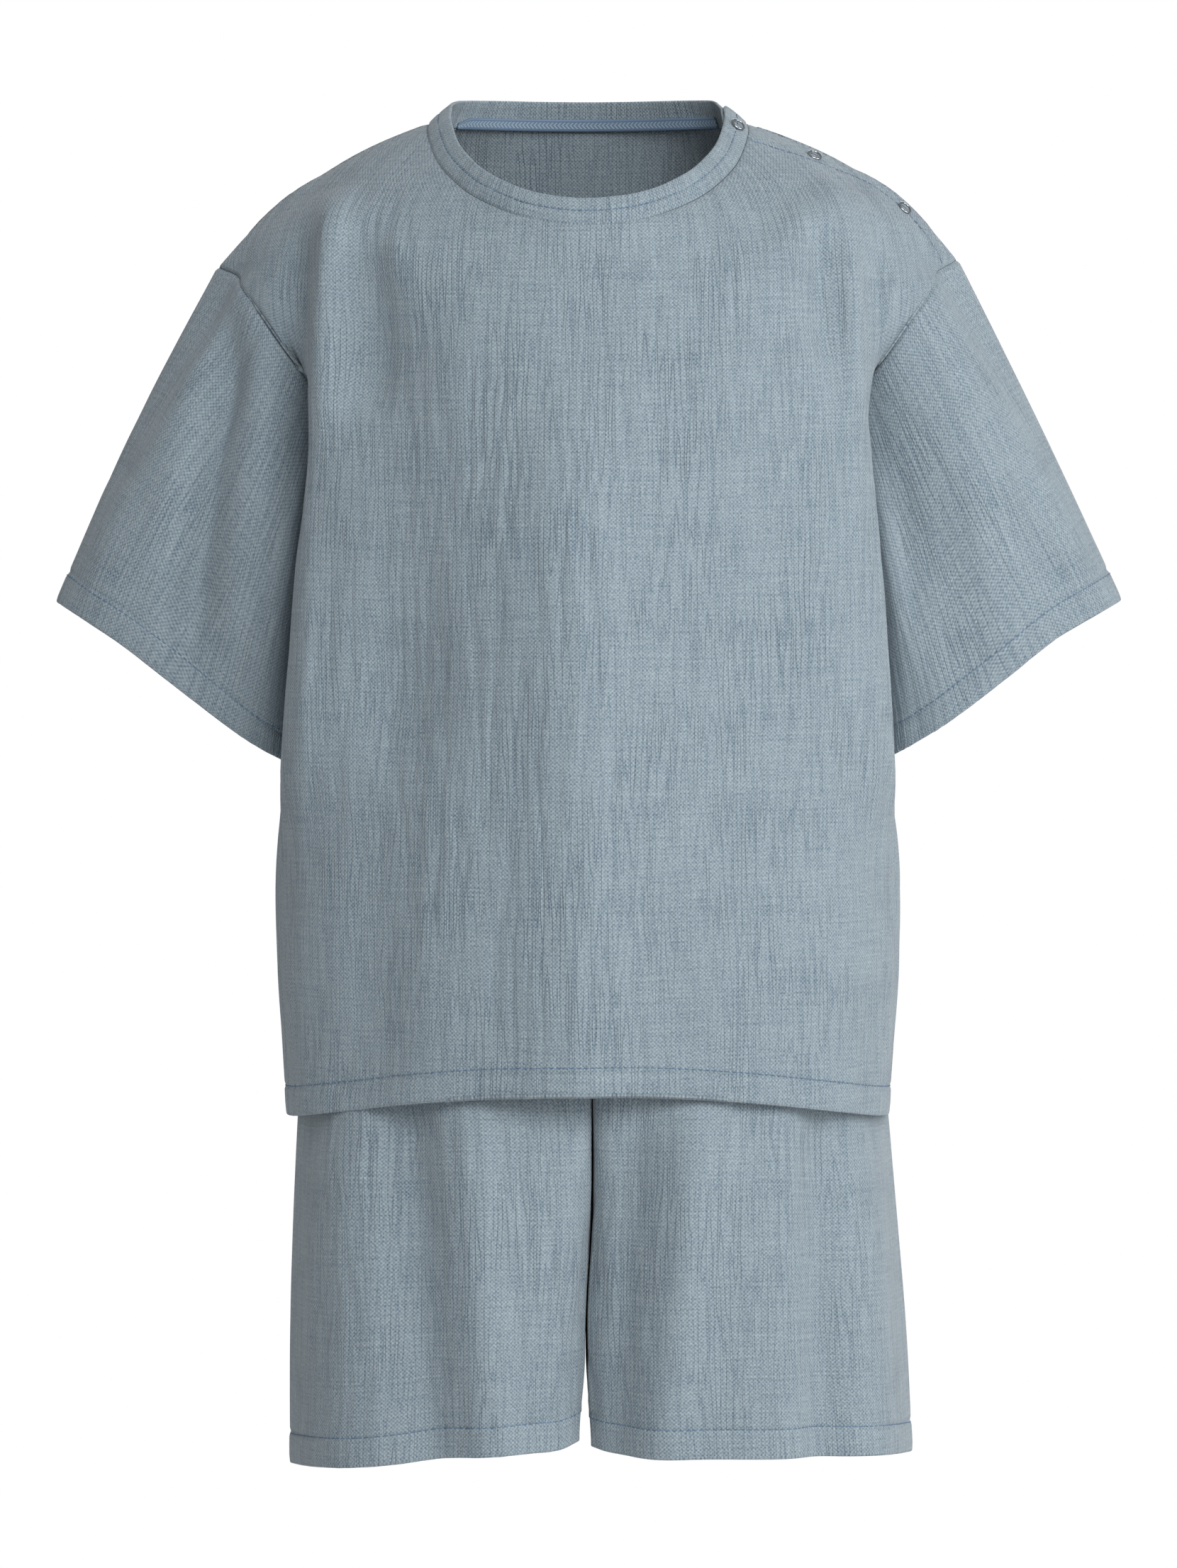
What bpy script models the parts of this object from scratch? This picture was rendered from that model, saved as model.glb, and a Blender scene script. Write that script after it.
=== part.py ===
"""Short pyjama set in cotton muslin chambray: a boxy top with elbow sleeves over wide shorts.

The set stands filled out as if worn. +Z is up, the front faces -Y, and +X is the wearer's left.
The origin lies between the shoulders, level with the neck points. Tables are in millimetres.
"""

import math

import bmesh
import bpy
import numpy as np

MM = 0.001

# Cloth
WALL = 1.2
BAND_WALL = 1.4
WAIST_WALL = 2.2
TAPE_WALL = 1.0
SEAM_GAP = 0.36
LAYER_GAP = 0.3
UNDERLAP_DEPTH = 1.0

# Neck
NECK_HALF_WIDTH = 65.0
NECK_SIDE_Y = 4.0
NECK_SIDE_Z = -9.0
NECK_FRONT_REACH = 68.0
NECK_FRONT_DROP = 44.0
NECK_BACK_REACH = 46.0
NECK_BACK_RISE = 4.0
NECK_POINT_ANGLE = 98.0
BAND_HEIGHT = 11.8
BAND_LAP_UNDER = 22.0
BAND_LAP_OVER = 6.0
TAPE_TOP = 4.7
TAPE_BOTTOM = -0.3

# Shoulder underlap: its reach behind and in front of the seam, and its drops
UNDERLAP_BACK = 3.0
UNDERLAP_FRONT = 14.0
UNDERLAP_START = 5.0
UNDERLAP_END = 58.0

# Snaps
SNAP_RADIUS = 2.55
SNAP_WIRE = 0.5
SNAP_PLACES = ((60.4, -8.9), (90.3, -19.4), (127.2, -40.4))

# Sleeve hem
SLEEVE_OUTER = (214.0, -199.0)
SLEEVE_INNER = (119.8, -265.5)
SLEEVE_HEM_Y = 22.0
SLEEVE_HALF_DEPTH = 30.0
SLEEVE_BULGE = 2.8

# Waistband
WAIST_HEIGHT = 20.0
WAIST_TAKE_UP = 0.965

# Grid counts
SHOULDER_ROWS = 4
ARMHOLE_ROWS = 11
SIDE_ROWS = 11
FRONT_COLUMNS = 32
BACK_COLUMNS = 28
SLEEVE_ROWS = 11
LEG_RISE_ROWS = 12
LEG_SEAM_ROWS = 6
LEG_COLUMNS = 13

# Where the four lines of stations cross a half row: centre, middle, ridge, edge.
STATIONS = (0.0, 0.38, 0.76, 1.0)
COLUMNS = (0.0, 0.19, 0.38, 0.57, 0.76, 0.88, 1.0)

# The rows of the front down to the armhole's end. Each row names its drop, then its centre
# (y, z), middle (x, y, z), ridge (x, y, z) and edge (x, y, z), and how far the cloth beside the
# edge is tucked in behind the sleeve. The edge runs down the shoulder seam, round the armhole
# and down the side seam.
FRONT_ROWS = (
    (31, (-68, -69), (57, -54, -56), (90, -17, -33), (106, 14, -28.5), 0),
    (64, (-73, -90), (63, -63, -78), (105.5, -29, -50), (147, 13, -64), 0),
    (86, (-77, -109), (63, -68, -99), (107, -37, -73), (138.5, -13, -77), 0),
    (114, (-80.5, -131), (63.5, -71.5, -123), (108.5, -41, -104), (119, -20, -104), 0),
    (143, (-83.5, -153), (64.5, -74.5, -147), (111.5, -41, -138), (108.5, -9, -144), 1.5),
    (171, (-86.5, -175), (66, -77, -173), (115, -40, -171), (109.5, 8, -171), 5),
    (207, (-90, -210), (68, -79.5, -209), (118.2, -40, -208), (107, 12, -207), 4),
    (250, (-94, -252), (70, -82, -251), (120.8, -40, -250), (109.5, 13, -250), 3),
)
BACK_ROWS = (
    (31, (56, -22), (52, 50, -22), (88, 34, -31), (106, 14, -28.5), 0),
    (64, (61, -47), (60, 57, -47), (104, 44, -52), (147, 13, -64), 0),
    (86, (63.5, -70), (62, 61, -70), (107, 50, -75), (139.5, 38, -78), 0),
    (114, (65.5, -98), (63, 63, -98), (109, 51, -104), (121, 46, -106), 0),
    (143, (67, -133), (64, 64, -133), (108.5, 50, -137), (110, 34, -144), 1),
    (171, (68, -169), (66, 65, -169), (107, 48, -171), (109.5, 8, -171), 4),
    (207, (70, -207), (68, 66, -207), (106.5, 46, -208), (107, 12, -207), 2),
    (250, (72.5, -250), (70, 67, -250), (109.5, 46, -250), (109.5, 13, -250), 1),
)
# Sections below the sleeves: drop, side z, centre front z, half width, front, back, seam y, power.
TORSO_ROWS = (
    (298, -298, -298.5, 124.8, 97, 75, 4, 2.5),
    (340, -340, -339, 125.6, 98, 77, 2, 2.5),
    (378, -378, -372, 124.0, 97, 77.5, 1, 2.5),
    (405, -405, -393.6, 122.2, 96, 77.5, 0, 2.5),
)
# Legs, for the wearer's left: seam end (y, z), inner corner, middle, outer corner and side, each
# (x, y, z), then the share of the width that the other leg has.
LEG_FRONT = (
    ((-73, -252), (13, -72.5, -252), (52, -66, -252), (84, -42, -252), (94, 2, -252), 1.0),
    ((-84, -300), (14, -83.5, -300), (60, -76, -300), (96, -47, -300), (108, 2, -300), 0.995),
    ((-88.5, -345), (14, -88.5, -345), (63, -81, -345), (103, -50, -345), (115, 2, -345), 0.985),
    ((-83, -383), (12, -88, -385), (64, -82, -386), (104, -51, -386), (118.6, 2, -387), 0.977),
    ((-60, -404), (7.5, -87.5, -405), (64, -83, -406), (105, -51.5, -406), (120.4, 2, -406), 0.972),
    ((-24, -418), (4, -84, -424), (65, -86, -426), (108, -53, -427), (122.2, 2, -428), 0.966),
    ((6, -425), (3, -80, -447), (65, -87, -450), (111, -54, -451), (124.2, 2, -452), 0.958),
    ((6, -470), (2.6, -76, -485), (66, -87, -490), (114, -53, -491), (127.4, 2, -492), 0.942),
    ((6, -533), (5, -72, -534.5), (67, -84.5, -535.5), (116, -52, -537), (129.7, 2, -541), 0.925),
)
LEG_BACK = (
    ((64, -252), (13, 63.5, -252), (52, 58, -252), (84, 38, -252), (94, 2, -252), 1.0),
    ((68, -300), (14, 67.5, -300), (60, 61, -300), (96, 40, -300), (108, 2, -300), 0.995),
    ((70, -345), (14, 70, -345), (63, 62, -345), (102, 42, -345), (115, 2, -345), 0.985),
    ((68, -383), (12, 70.5, -385), (64, 62, -386), (103, 42, -386), (118.6, 2, -387), 0.977),
    ((56, -404), (7.5, 70, -405), (64, 62.5, -406), (104, 42.5, -406), (120.4, 2, -406), 0.972),
    ((30, -418), (4, 68, -424), (65, 65, -426), (107, 45, -427), (122.2, 2, -428), 0.966),
    ((6, -425), (3, 66, -447), (65, 67, -450), (110, 46, -451), (124.2, 2, -452), 0.958),
    ((6, -470), (2.6, 63, -485), (66, 67, -490), (114, 46, -491), (127.4, 2, -492), 0.942),
    ((6, -533), (5, 60, -535), (67, 66, -537), (116, 45, -539), (129.7, 2, -541), 0.925),
)
LEG_STATIONS = (0.0, 0.3, 0.58, 0.83, 1.0)
LEG_LEVELS = (0, 48, 93, 132, 156, 182, 206, 246, 292)
CROTCH_LEVEL = 206
SEAM_X = 0.15

# Folds, seen from the front: x and z of both ends, half width, height out of the cloth.
FRONT_FOLDS = (
    (-103, -44, -106, -128, 8, 3.0),
    (-86, -50, -88, -120, 9, -3.5),
    (104, -50, 108, -120, 7, 2.5),
    (92, -56, 93, -102, 7, -3.0),
    (-8, -215, -8, -420, 30, 5.0),
    (-66, -95, -58, -290, 24, -4.0),
    (-62, -270, -88, -400, 22, -4.5),
    (58, -150, 66, -330, 30, -2.0),
    (-104, -300, -108, -410, 9, 1.5),
)
BACK_FOLDS = (
    (-62, -90, -70, -400, 22, -3.0),
    (60, -110, 74, -400, 20, -3.0),
    (6, -160, 10, -420, 20, 2.5),
    (-100, -60, -103, -150, 10, 2.5),
    (100, -60, 104, -150, 10, 2.5),
)
SLEEVE_FOLDS = {
    -1: (
        (-150, -84, -172, -215, 9, -4.0),
        (-137, -95, -150, -225, 9, 2.5),
        (-190, -150, -197, -200, 10, 1.5),
    ),
    1: (
        (124, -150, 134, -262, 7, -3.5),
        (146, -100, 166, -220, 12, 2.0),
        (172, -140, 184, -196, 9, -1.5),
    ),
}
LEG_FOLDS = {
    -1: (
        (-66, -400, -54, -550, 13, -4.5),
        (-38, -395, -30, -550, 14, 3.0),
        (-96, -400, -94, -550, 14, 2.0),
    ),
    1: (
        (33, -400, 16, -550, 8, -5.0),
        (50, -395, 44, -550, 14, 3.0),
        (92, -400, 93, -550, 11, -3.5),
        (112, -405, 116, -550, 9, 1.5),
    ),
}


def through(knots, values, at):
    """Smooth line through the values at the knots, with its slope averaged at each knot."""
    knots = np.asarray(knots, float)
    values = np.asarray(values, float)
    at = np.asarray(at, float)
    step = np.diff(knots)
    shape = (-1,) + (1,) * (values.ndim - 1)
    slope = np.diff(values, axis=0) / step.reshape(shape)
    tangent = np.empty_like(values)
    weight = (step[1:] / (step[1:] + step[:-1])).reshape(shape)
    tangent[1:-1] = weight * slope[:-1] + (1 - weight) * slope[1:]
    tangent[0] = 1.5 * slope[0] - 0.5 * tangent[1]
    tangent[-1] = 1.5 * slope[-1] - 0.5 * tangent[-2]
    part = np.clip(np.searchsorted(knots, at, side="right") - 1, 0, len(knots) - 2)
    h = step[part].reshape((-1,) + (1,) * (values.ndim - 1))
    t = ((at - knots[part]) / step[part]).reshape(h.shape)
    a = (1 + 2 * t) * (1 - t) ** 2
    b = t * (1 - t) ** 2
    c = t ** 2 * (3 - 2 * t)
    d = t ** 2 * (t - 1)
    return a * values[part] + b * h * tangent[part] + c * values[part + 1] + d * h * tangent[part + 1]


def unit(vectors):
    """Vectors of length one."""
    length = np.linalg.norm(vectors, axis=-1, keepdims=True)
    return vectors / np.maximum(length, 1e-9)


def neckline(angle):
    """Point of the neck seam, by its angle in degrees from the centre front."""
    turn = math.radians(angle)
    x = NECK_HALF_WIDTH * math.sin(turn)
    ahead = math.cos(turn)
    if ahead >= 0:
        return x, NECK_SIDE_Y - NECK_FRONT_REACH * ahead, NECK_SIDE_Z - NECK_FRONT_DROP * ahead
    return x, NECK_SIDE_Y - NECK_BACK_REACH * ahead, NECK_SIDE_Z - NECK_BACK_RISE * ahead


def half_section(row, front):
    """Half of a torso section as a superellipse, sampled at the columns."""
    drop, side_z, centre_z, wide, fore, aft, seam_y, power = row
    reach = -(fore + seam_y) if front else aft - seam_y
    middle_z = centre_z if front else side_z
    turns = np.linspace(0, math.pi / 2, 181)
    x = wide * np.sin(turns) ** (2 / power)
    y = seam_y + reach * np.cos(turns) ** (2 / power)
    x[-1] = wide
    y[-1] = seam_y
    length = np.concatenate(([0], np.cumsum(np.hypot(np.diff(x), np.diff(y)))))
    at = np.array(COLUMNS) * length[-1]
    x = np.interp(at, length, x)
    y = np.interp(at, length, y)
    z = middle_z + (side_z - middle_z) * (x / wide) ** 2
    return np.stack((x, y, z), axis=1)


def body_net(front):
    """Net of the top's front or back: its levels and its points across the full width."""
    neck = (0, 40, 70, NECK_POINT_ANGLE) if front else (180, 140, 115, NECK_POINT_ANGLE)
    angles = through(STATIONS, np.array(neck, float), COLUMNS)
    halves = [np.array([neckline(angle) for angle in angles])]
    levels = [0.0]
    for drop, centre, middle, ridge, edge, tuck in (FRONT_ROWS if front else BACK_ROWS):
        half = np.array(((0,) + centre, middle, ridge, edge), float)
        mirrored = half[:0:-1] * (-1, 1, 1)
        knots = np.concatenate((-np.array(STATIONS[:0:-1]), STATIONS))
        row = through(knots, np.concatenate((mirrored, half)), COLUMNS)
        row[-2, 0] -= tuck
        halves.append(row)
        levels.append(drop)
    for row in TORSO_ROWS:
        halves.append(half_section(row, front))
        levels.append(row[0])
    net = np.array(halves)
    whole = np.concatenate((net[:, :0:-1] * (-1, 1, 1), net), axis=1)
    return np.array(levels, float), whole


def edge_line(front, down):
    """Edge of the front or back: shoulder seam, armhole and side seam, each smooth by itself."""
    table = FRONT_ROWS if front else BACK_ROWS
    levels = [0.0] + [row[0] for row in table] + [row[0] for row in TORSO_ROWS]
    line = [neckline(NECK_POINT_ANGLE)] + [row[4] for row in table]
    line += [(row[3], row[6], row[1]) for row in TORSO_ROWS]
    levels, line = np.array(levels, float), np.array(line, float)
    result = np.empty((len(down), 3))
    for first, last in ((0, 2), (2, 6), (6, len(levels) - 1)):
        inside = (down >= levels[first] - 1e-9) & (down <= levels[last] + 1e-9)
        part = slice(first, last + 1)
        result[inside] = through(levels[part], line[part], down[inside])
    return result


def body_points(front, across, down):
    """Points of the top's front or back at places across (-1 to 1) and drops down it."""
    levels, net = body_net(front)
    rows = through(levels, net, down)
    edge = edge_line(front, down)
    rows[:, -1] = edge
    rows[:, 0] = edge * (-1, 1, 1)
    knots = np.concatenate((-np.array(COLUMNS[:0:-1]), COLUMNS))
    return np.swapaxes(through(knots, np.swapaxes(rows, 0, 1), across), 0, 1)


def leg_points(front, side, across, down):
    """Points of one leg's front or back, from the middle seam (0) to the side seam (1)."""
    rows = []
    for seam, inner, middle, corner, edge, share in (LEG_FRONT if front else LEG_BACK):
        row = np.array(((0.0,) + seam, inner, middle, corner, edge), float)
        if side < 0:
            row[:, 0] *= share
        rows.append(row)
    net = np.array(rows)
    levels = np.array(LEG_LEVELS, float)
    rise = levels <= CROTCH_LEVEL
    seam_x = np.maximum(net[:, 1, 0] - 1.2, SEAM_X)
    rows = through(levels, net, down)
    above = down <= CROTCH_LEVEL
    rows[above, 0] = through(levels[rise], net[rise, 0], down[above])
    inseam = levels >= CROTCH_LEVEL
    line = net[inseam, 0].copy()
    line[1:, 0] = seam_x[inseam][1:]
    rows[~above, 0] = through(levels[inseam], line, down[~above])
    points = np.swapaxes(through(LEG_STATIONS, np.swapaxes(rows, 0, 1), across), 0, 1)
    points[..., 0] = np.maximum(points[..., 0], SEAM_X)
    points[..., 0] *= side
    return points


def surface_normals(points, flip, closed):
    """Outward normals of a grid of points."""
    if closed:
        around = np.roll(points, -1, axis=1) - np.roll(points, 1, axis=1)
    else:
        around = np.gradient(points, axis=1)
    down = np.gradient(points, axis=0)
    return unit(np.cross(around, down)) * flip


def ease(value):
    """Smooth step from 0 to 1."""
    value = np.clip(value, 0, 1)
    return value * value * (3 - 2 * value)


def fold_heights(points, folds, facing):
    """Height of the folds at each point, with soft ends, on the side that faces the same way."""
    x = points[..., 0]
    z = points[..., 2]
    height = np.zeros(x.shape)
    for x0, z0, x1, z1, half_width, rise in folds:
        along = np.array((x1 - x0, z1 - z0), float)
        length = np.hypot(*along)
        along /= length
        run = (x - x0) * along[0] + (z - z0) * along[1]
        off = (x - x0) * along[1] - (z - z0) * along[0]
        soft = 0.3 * length
        window = ease(run / soft + 0.5) * ease((length - run) / soft + 0.5)
        height += rise * window * np.exp(-(off / half_width) ** 2)
    return height * facing


def edge_fade(shape, sides, top, bottom, width=2.5):
    """Factor that lets folds die out towards the named edges of a grid."""
    rows, columns = shape
    down = np.arange(rows)[:, None]
    across = np.arange(columns)[None, :]
    fade = np.ones(shape)
    if sides:
        fade = fade * ease(across / width) * ease((columns - 1 - across) / width)
    if top:
        fade = fade * ease(down / width)
    if bottom:
        fade = fade * ease((rows - 1 - down) / width)
    return fade


class Piece:
    """A cut piece as a grid of outer points with their outward normals."""

    def __init__(self, name, points, flip, closed=False, wall=WALL):
        self.name = name
        self.points = points
        self.flip = flip
        self.closed = closed
        self.wall = wall
        self.normals = surface_normals(points, flip, closed)

    def fold(self, heights):
        """Move the points along their normals."""
        self.points = self.points + self.normals * heights[..., None]
        self.normals = surface_normals(self.points, self.flip, self.closed)

    def pull_back(self, edges, amount=SEAM_GAP / 2):
        """Draw the named edges back along the cloth."""
        p = self.points.copy()
        if "left" in edges:
            p[:, 0] += amount * unit(self.points[:, 1] - self.points[:, 0])
        if "right" in edges:
            p[:, -1] += amount * unit(self.points[:, -2] - self.points[:, -1])
        if "top" in edges:
            p[0] += amount * unit(self.points[1] - self.points[0])
        if "bottom" in edges:
            p[-1] += amount * unit(self.points[-2] - self.points[-1])
        self.points = p


def meet_normals(pieces):
    """Give points that pieces share one common normal, so their walls end side by side."""
    sums = {}
    for piece in pieces:
        keys = np.round(piece.points.reshape(-1, 3), 3)
        for key, normal in zip(map(tuple, keys), piece.normals.reshape(-1, 3)):
            sums[key] = sums.get(key, 0) + normal
    for piece in pieces:
        keys = np.round(piece.points.reshape(-1, 3), 3)
        common = np.array([sums[tuple(key)] for key in keys])
        piece.normals = unit(common).reshape(piece.normals.shape)


def solid(name, points, normals, wall, closed):
    """Closed wall between the outer points and the same points moved in."""
    rows, columns = points.shape[:2]
    inner = points - normals * wall
    vertices = np.concatenate((points.reshape(-1, 3), inner.reshape(-1, 3))) * MM
    count = rows * columns
    last = columns if closed else columns - 1
    faces = []
    for j in range(rows - 1):
        for i in range(last):
            k = (i + 1) % columns
            a, b = j * columns + i, j * columns + k
            c, d = (j + 1) * columns + k, (j + 1) * columns + i
            faces.append((a, d, c, b))
            faces.append((count + a, count + b, count + c, count + d))
    for i in range(last):
        k = (i + 1) % columns
        faces.append((i, k, count + k, count + i))
        a, b = (rows - 1) * columns + i, (rows - 1) * columns + k
        faces.append((a, count + a, count + b, b))
    if not closed:
        for j in range(rows - 1):
            a, d = j * columns, (j + 1) * columns
            faces.append((a, count + a, count + d, d))
            a, d = a + columns - 1, d + columns - 1
            faces.append((a, d, count + d, count + a))
    mesh = bpy.data.meshes.new(name)
    mesh.from_pydata(vertices.tolist(), [], faces)
    return finish(name, mesh)


def finish(name, mesh):
    """Turn every face out and add the object with its own material."""
    work = bmesh.new()
    work.from_mesh(mesh)
    bmesh.ops.recalc_face_normals(work, faces=work.faces)
    if work.calc_volume(signed=True) < 0:
        bmesh.ops.reverse_faces(work, faces=work.faces)
    bmesh.ops.triangulate(work, faces=work.faces)
    work.to_mesh(mesh)
    work.free()
    thing = bpy.data.objects.new(name, mesh)
    bpy.context.scene.collection.objects.link(thing)
    material = bpy.data.materials.new(name)
    material.use_nodes = True
    shader = material.node_tree.nodes["Principled BSDF"]
    metal = name.startswith("snap")
    tape = name.endswith("tape")
    colour = (0.75, 0.76, 0.78, 1) if metal else (0.17, 0.23, 0.30, 1) if tape else (0.28, 0.35, 0.40, 1)
    shader.inputs["Base Color"].default_value = colour
    shader.inputs["Metallic"].default_value = 1.0 if metal else 0.0
    shader.inputs["Roughness"].default_value = 0.25 if metal else 0.9
    mesh.materials.append(material)
    return thing


def ring(name, centre, axis, radius, wire):
    """Round ring of wire about the axis."""
    axis = unit(np.array(axis, float))
    side = unit(np.cross(axis, (0, 0, 1.0)))
    other = np.cross(axis, side)
    around, section = 20, 6
    vertices = []
    for i in range(around):
        turn = 2 * math.pi * i / around
        out = math.cos(turn) * side + math.sin(turn) * other
        for j in range(section):
            angle = 2 * math.pi * j / section
            reach = radius + wire * math.cos(angle)
            vertices.append(np.array(centre) + out * reach + axis * wire * 0.9 * math.sin(angle))
    faces = []
    for i in range(around):
        for j in range(section):
            k, m = (i + 1) % around, (j + 1) % section
            faces.append((i * section + j, k * section + j, k * section + m, i * section + m))
    mesh = bpy.data.meshes.new(name)
    mesh.from_pydata((np.array(vertices) * MM).tolist(), [], faces)
    return finish(name, mesh)


def down_samples():
    """Drops of the body's grid rows: shoulder, armhole and side."""
    tip, underarm, hem = FRONT_ROWS[1][0], FRONT_ROWS[5][0], TORSO_ROWS[-1][0]
    return np.concatenate((
        np.linspace(0, tip, SHOULDER_ROWS + 1),
        np.linspace(tip, underarm, ARMHOLE_ROWS + 1)[1:],
        np.linspace(underarm, hem, SIDE_ROWS + 1)[1:],
    ))


def body_piece(name, front):
    """The top's front or back with its folds."""
    down = down_samples()
    across = np.linspace(-1, 1, (FRONT_COLUMNS if front else BACK_COLUMNS) + 1)
    piece = Piece(name, body_points(front, across, down), -1 if front else 1)
    heights = fold_heights(piece.points, FRONT_FOLDS if front else BACK_FOLDS, 1)
    piece.fold(heights * edge_fade(heights.shape, True, True, False))
    return piece


def sleeve_piece(name, side, front, back):
    """A sleeve: a closed tube from the armhole to the hem."""
    column = -1 if side > 0 else 0
    first, last = SHOULDER_ROWS, SHOULDER_ROWS + ARMHOLE_ROWS
    fore = front.points[first:last + 1, column]
    aft = back.points[first:last + 1, column]
    armhole = np.concatenate((fore, aft[-2:0:-1]))
    count = len(armhole)
    length = np.concatenate(([0], np.cumsum(np.linalg.norm(np.diff(
        np.concatenate((armhole, armhole[:1])), axis=0), axis=1))))
    half = length[ARMHOLE_ROWS]
    turn = np.where(length[:-1] <= half, 0.5 * length[:-1] / half,
                    0.5 + 0.5 * (length[:-1] - half) / (length[-1] - half)) * 2 * math.pi
    outer, inner = np.array(SLEEVE_OUTER), np.array(SLEEVE_INNER)
    middle, reach = (outer + inner) / 2, (outer - inner) / 2
    lean = np.array((-reach[1], reach[0])) / np.hypot(*reach)
    out = np.sign(np.cos(turn)) * np.abs(np.cos(turn)) ** 0.86
    deep = np.sign(np.sin(turn)) * np.abs(np.sin(turn)) ** 0.86
    sag = 2.4 * np.exp(-((turn - 2.2) / 0.6) ** 2) + 1.2 * np.exp(-((turn - 5.0) / 0.8) ** 2)
    hem = np.empty((count, 3))
    hem[:, 0] = side * (middle[0] + reach[0] * out - lean[0] * sag)
    hem[:, 1] = SLEEVE_HEM_Y - SLEEVE_HALF_DEPTH * deep
    hem[:, 2] = middle[1] + reach[1] * out - lean[1] * sag
    rows = []
    for share in np.linspace(0, 1, SLEEVE_ROWS + 1):
        row = (1 - share) * armhole + share * hem
        swell = SLEEVE_BULGE * math.sin(math.pi * share)
        row[:, 0] += side * swell * out * (out > 0)
        row[:, 1] -= 2.5 * swell * deep
        rows.append(row)
    piece = Piece(name, np.array(rows), side, closed=True)
    facing = np.clip(-piece.normals[..., 1] * 1.5, 0, 1)
    heights = fold_heights(piece.points, SLEEVE_FOLDS[side], facing)
    piece.fold(heights * edge_fade(heights.shape, False, True, False))
    low = ease(1 - np.abs(turn - math.pi) / 1.4)
    piece.clearance = 0.45 * low[None, :] * np.linspace(1, 0, SLEEVE_ROWS + 1)[:, None]
    return piece


def band_rows(pieces):
    """Neck seam points and their normals, once round from the lapped shoulder past the back."""
    front, back = pieces
    seam = np.concatenate((back.points[0, ::-1], front.points[0, 1:]))
    normals = np.concatenate((back.normals[0, ::-1], front.normals[0, 1:]))
    return seam, normals


def band_lean(points):
    """Direction of the neckband from its seam: in over the shoulders, up at the back."""
    x, y = points[:, 0], points[:, 1]
    ahead = np.clip((NECK_SIDE_Y - y) / NECK_FRONT_REACH, 0, 1)
    behind = np.clip((y - NECK_SIDE_Y) / NECK_BACK_REACH, 0, 1)
    inward = -np.sign(x) * 0.83 * np.clip(np.abs(x) / NECK_HALF_WIDTH, 0, 1) ** 2.2
    inward = inward * (1 - 0.45 * ease(behind * 2))
    lean_y = 0.36 * ahead - 0.34 * behind
    up = 0.60 + 0.33 * ahead + 0.34 * ease(behind * 2.2)
    return unit(np.stack((inward, lean_y, up), axis=1))


def band_frame(front, back):
    """Places along the neckband with their seam points, lean, outward direction and lift."""
    seam, seam_normals = band_rows((front, back))
    lean = band_lean(seam)
    length = np.concatenate(([0], np.cumsum(np.linalg.norm(np.diff(seam, axis=0), axis=1))))
    whole = length[-1]
    before = np.linspace(-BAND_LAP_UNDER, 0, 5)[:-1]
    after = np.array([0.5, 1.0]) * BAND_LAP_OVER + whole
    places = np.concatenate((before, length, after))
    wrapped = np.concatenate((before + whole, length, after - whole))
    base = np.stack([np.interp(wrapped, length, seam[:, i]) for i in range(3)], axis=1)
    tilt = unit(np.stack([np.interp(wrapped, length, lean[:, i]) for i in range(3)], axis=1))
    normal = unit(np.stack([np.interp(wrapped, length, seam_normals[:, i]) for i in range(3)], axis=1))
    face = unit(np.cross(np.gradient(base, axis=0), tilt))
    outward = face * np.sign(np.sum(face * normal, axis=1, keepdims=True))
    lift = -(BAND_WALL + LAYER_GAP + 0.1) * (1 - ease((places - 8) / 14))
    return places, base, tilt, outward, normal, lift


def band_points(frame, heights, inset=0.0):
    """Points of the neckband at heights above its seam, bowed a little outward."""
    places, base, tilt, outward, normal, lift = frame
    rows = []
    for height in heights:
        bow = 0.7 * math.sin(math.pi * min(max(height / BAND_HEIGHT, 0), 1))
        rows.append(base + tilt * height + outward * (bow - inset + lift[:, None]))
    return np.array(rows)


def facing_out(piece, outward):
    """The piece with its normals turned to the outward side."""
    if np.sum(piece.normals * outward) < 0:
        piece.normals = -piece.normals
        piece.flip = -piece.flip
    return piece


def neckband(frame):
    """The neckband: a strip round the neck whose front end laps over its back end."""
    outward, normal = frame[3], frame[4]
    heights = [BAND_HEIGHT * share for share in (1.0, 0.66, 0.33, 0.0)]
    piece = facing_out(Piece("top_neckband", band_points(frame, heights), 1, wall=BAND_WALL), outward)
    inside = slice(4, len(outward) - 2)
    piece.normals[-1, inside] = unit(piece.normals[-1, inside] + normal[inside])
    piece.pull_back(("bottom",))
    return piece


def neck_tape(frame):
    """The tape inside the back neck, over the neckband's seam."""
    first, last = 9, 4 + BACK_COLUMNS - 2
    part = [values[first:last + 1] for values in frame]
    heights = (TAPE_TOP, (TAPE_TOP + TAPE_BOTTOM) / 2, TAPE_BOTTOM)
    points = band_points(part, heights, BAND_WALL + LAYER_GAP)
    return facing_out(Piece("top_neck_tape", points, 1, wall=TAPE_WALL), part[3])


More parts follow.
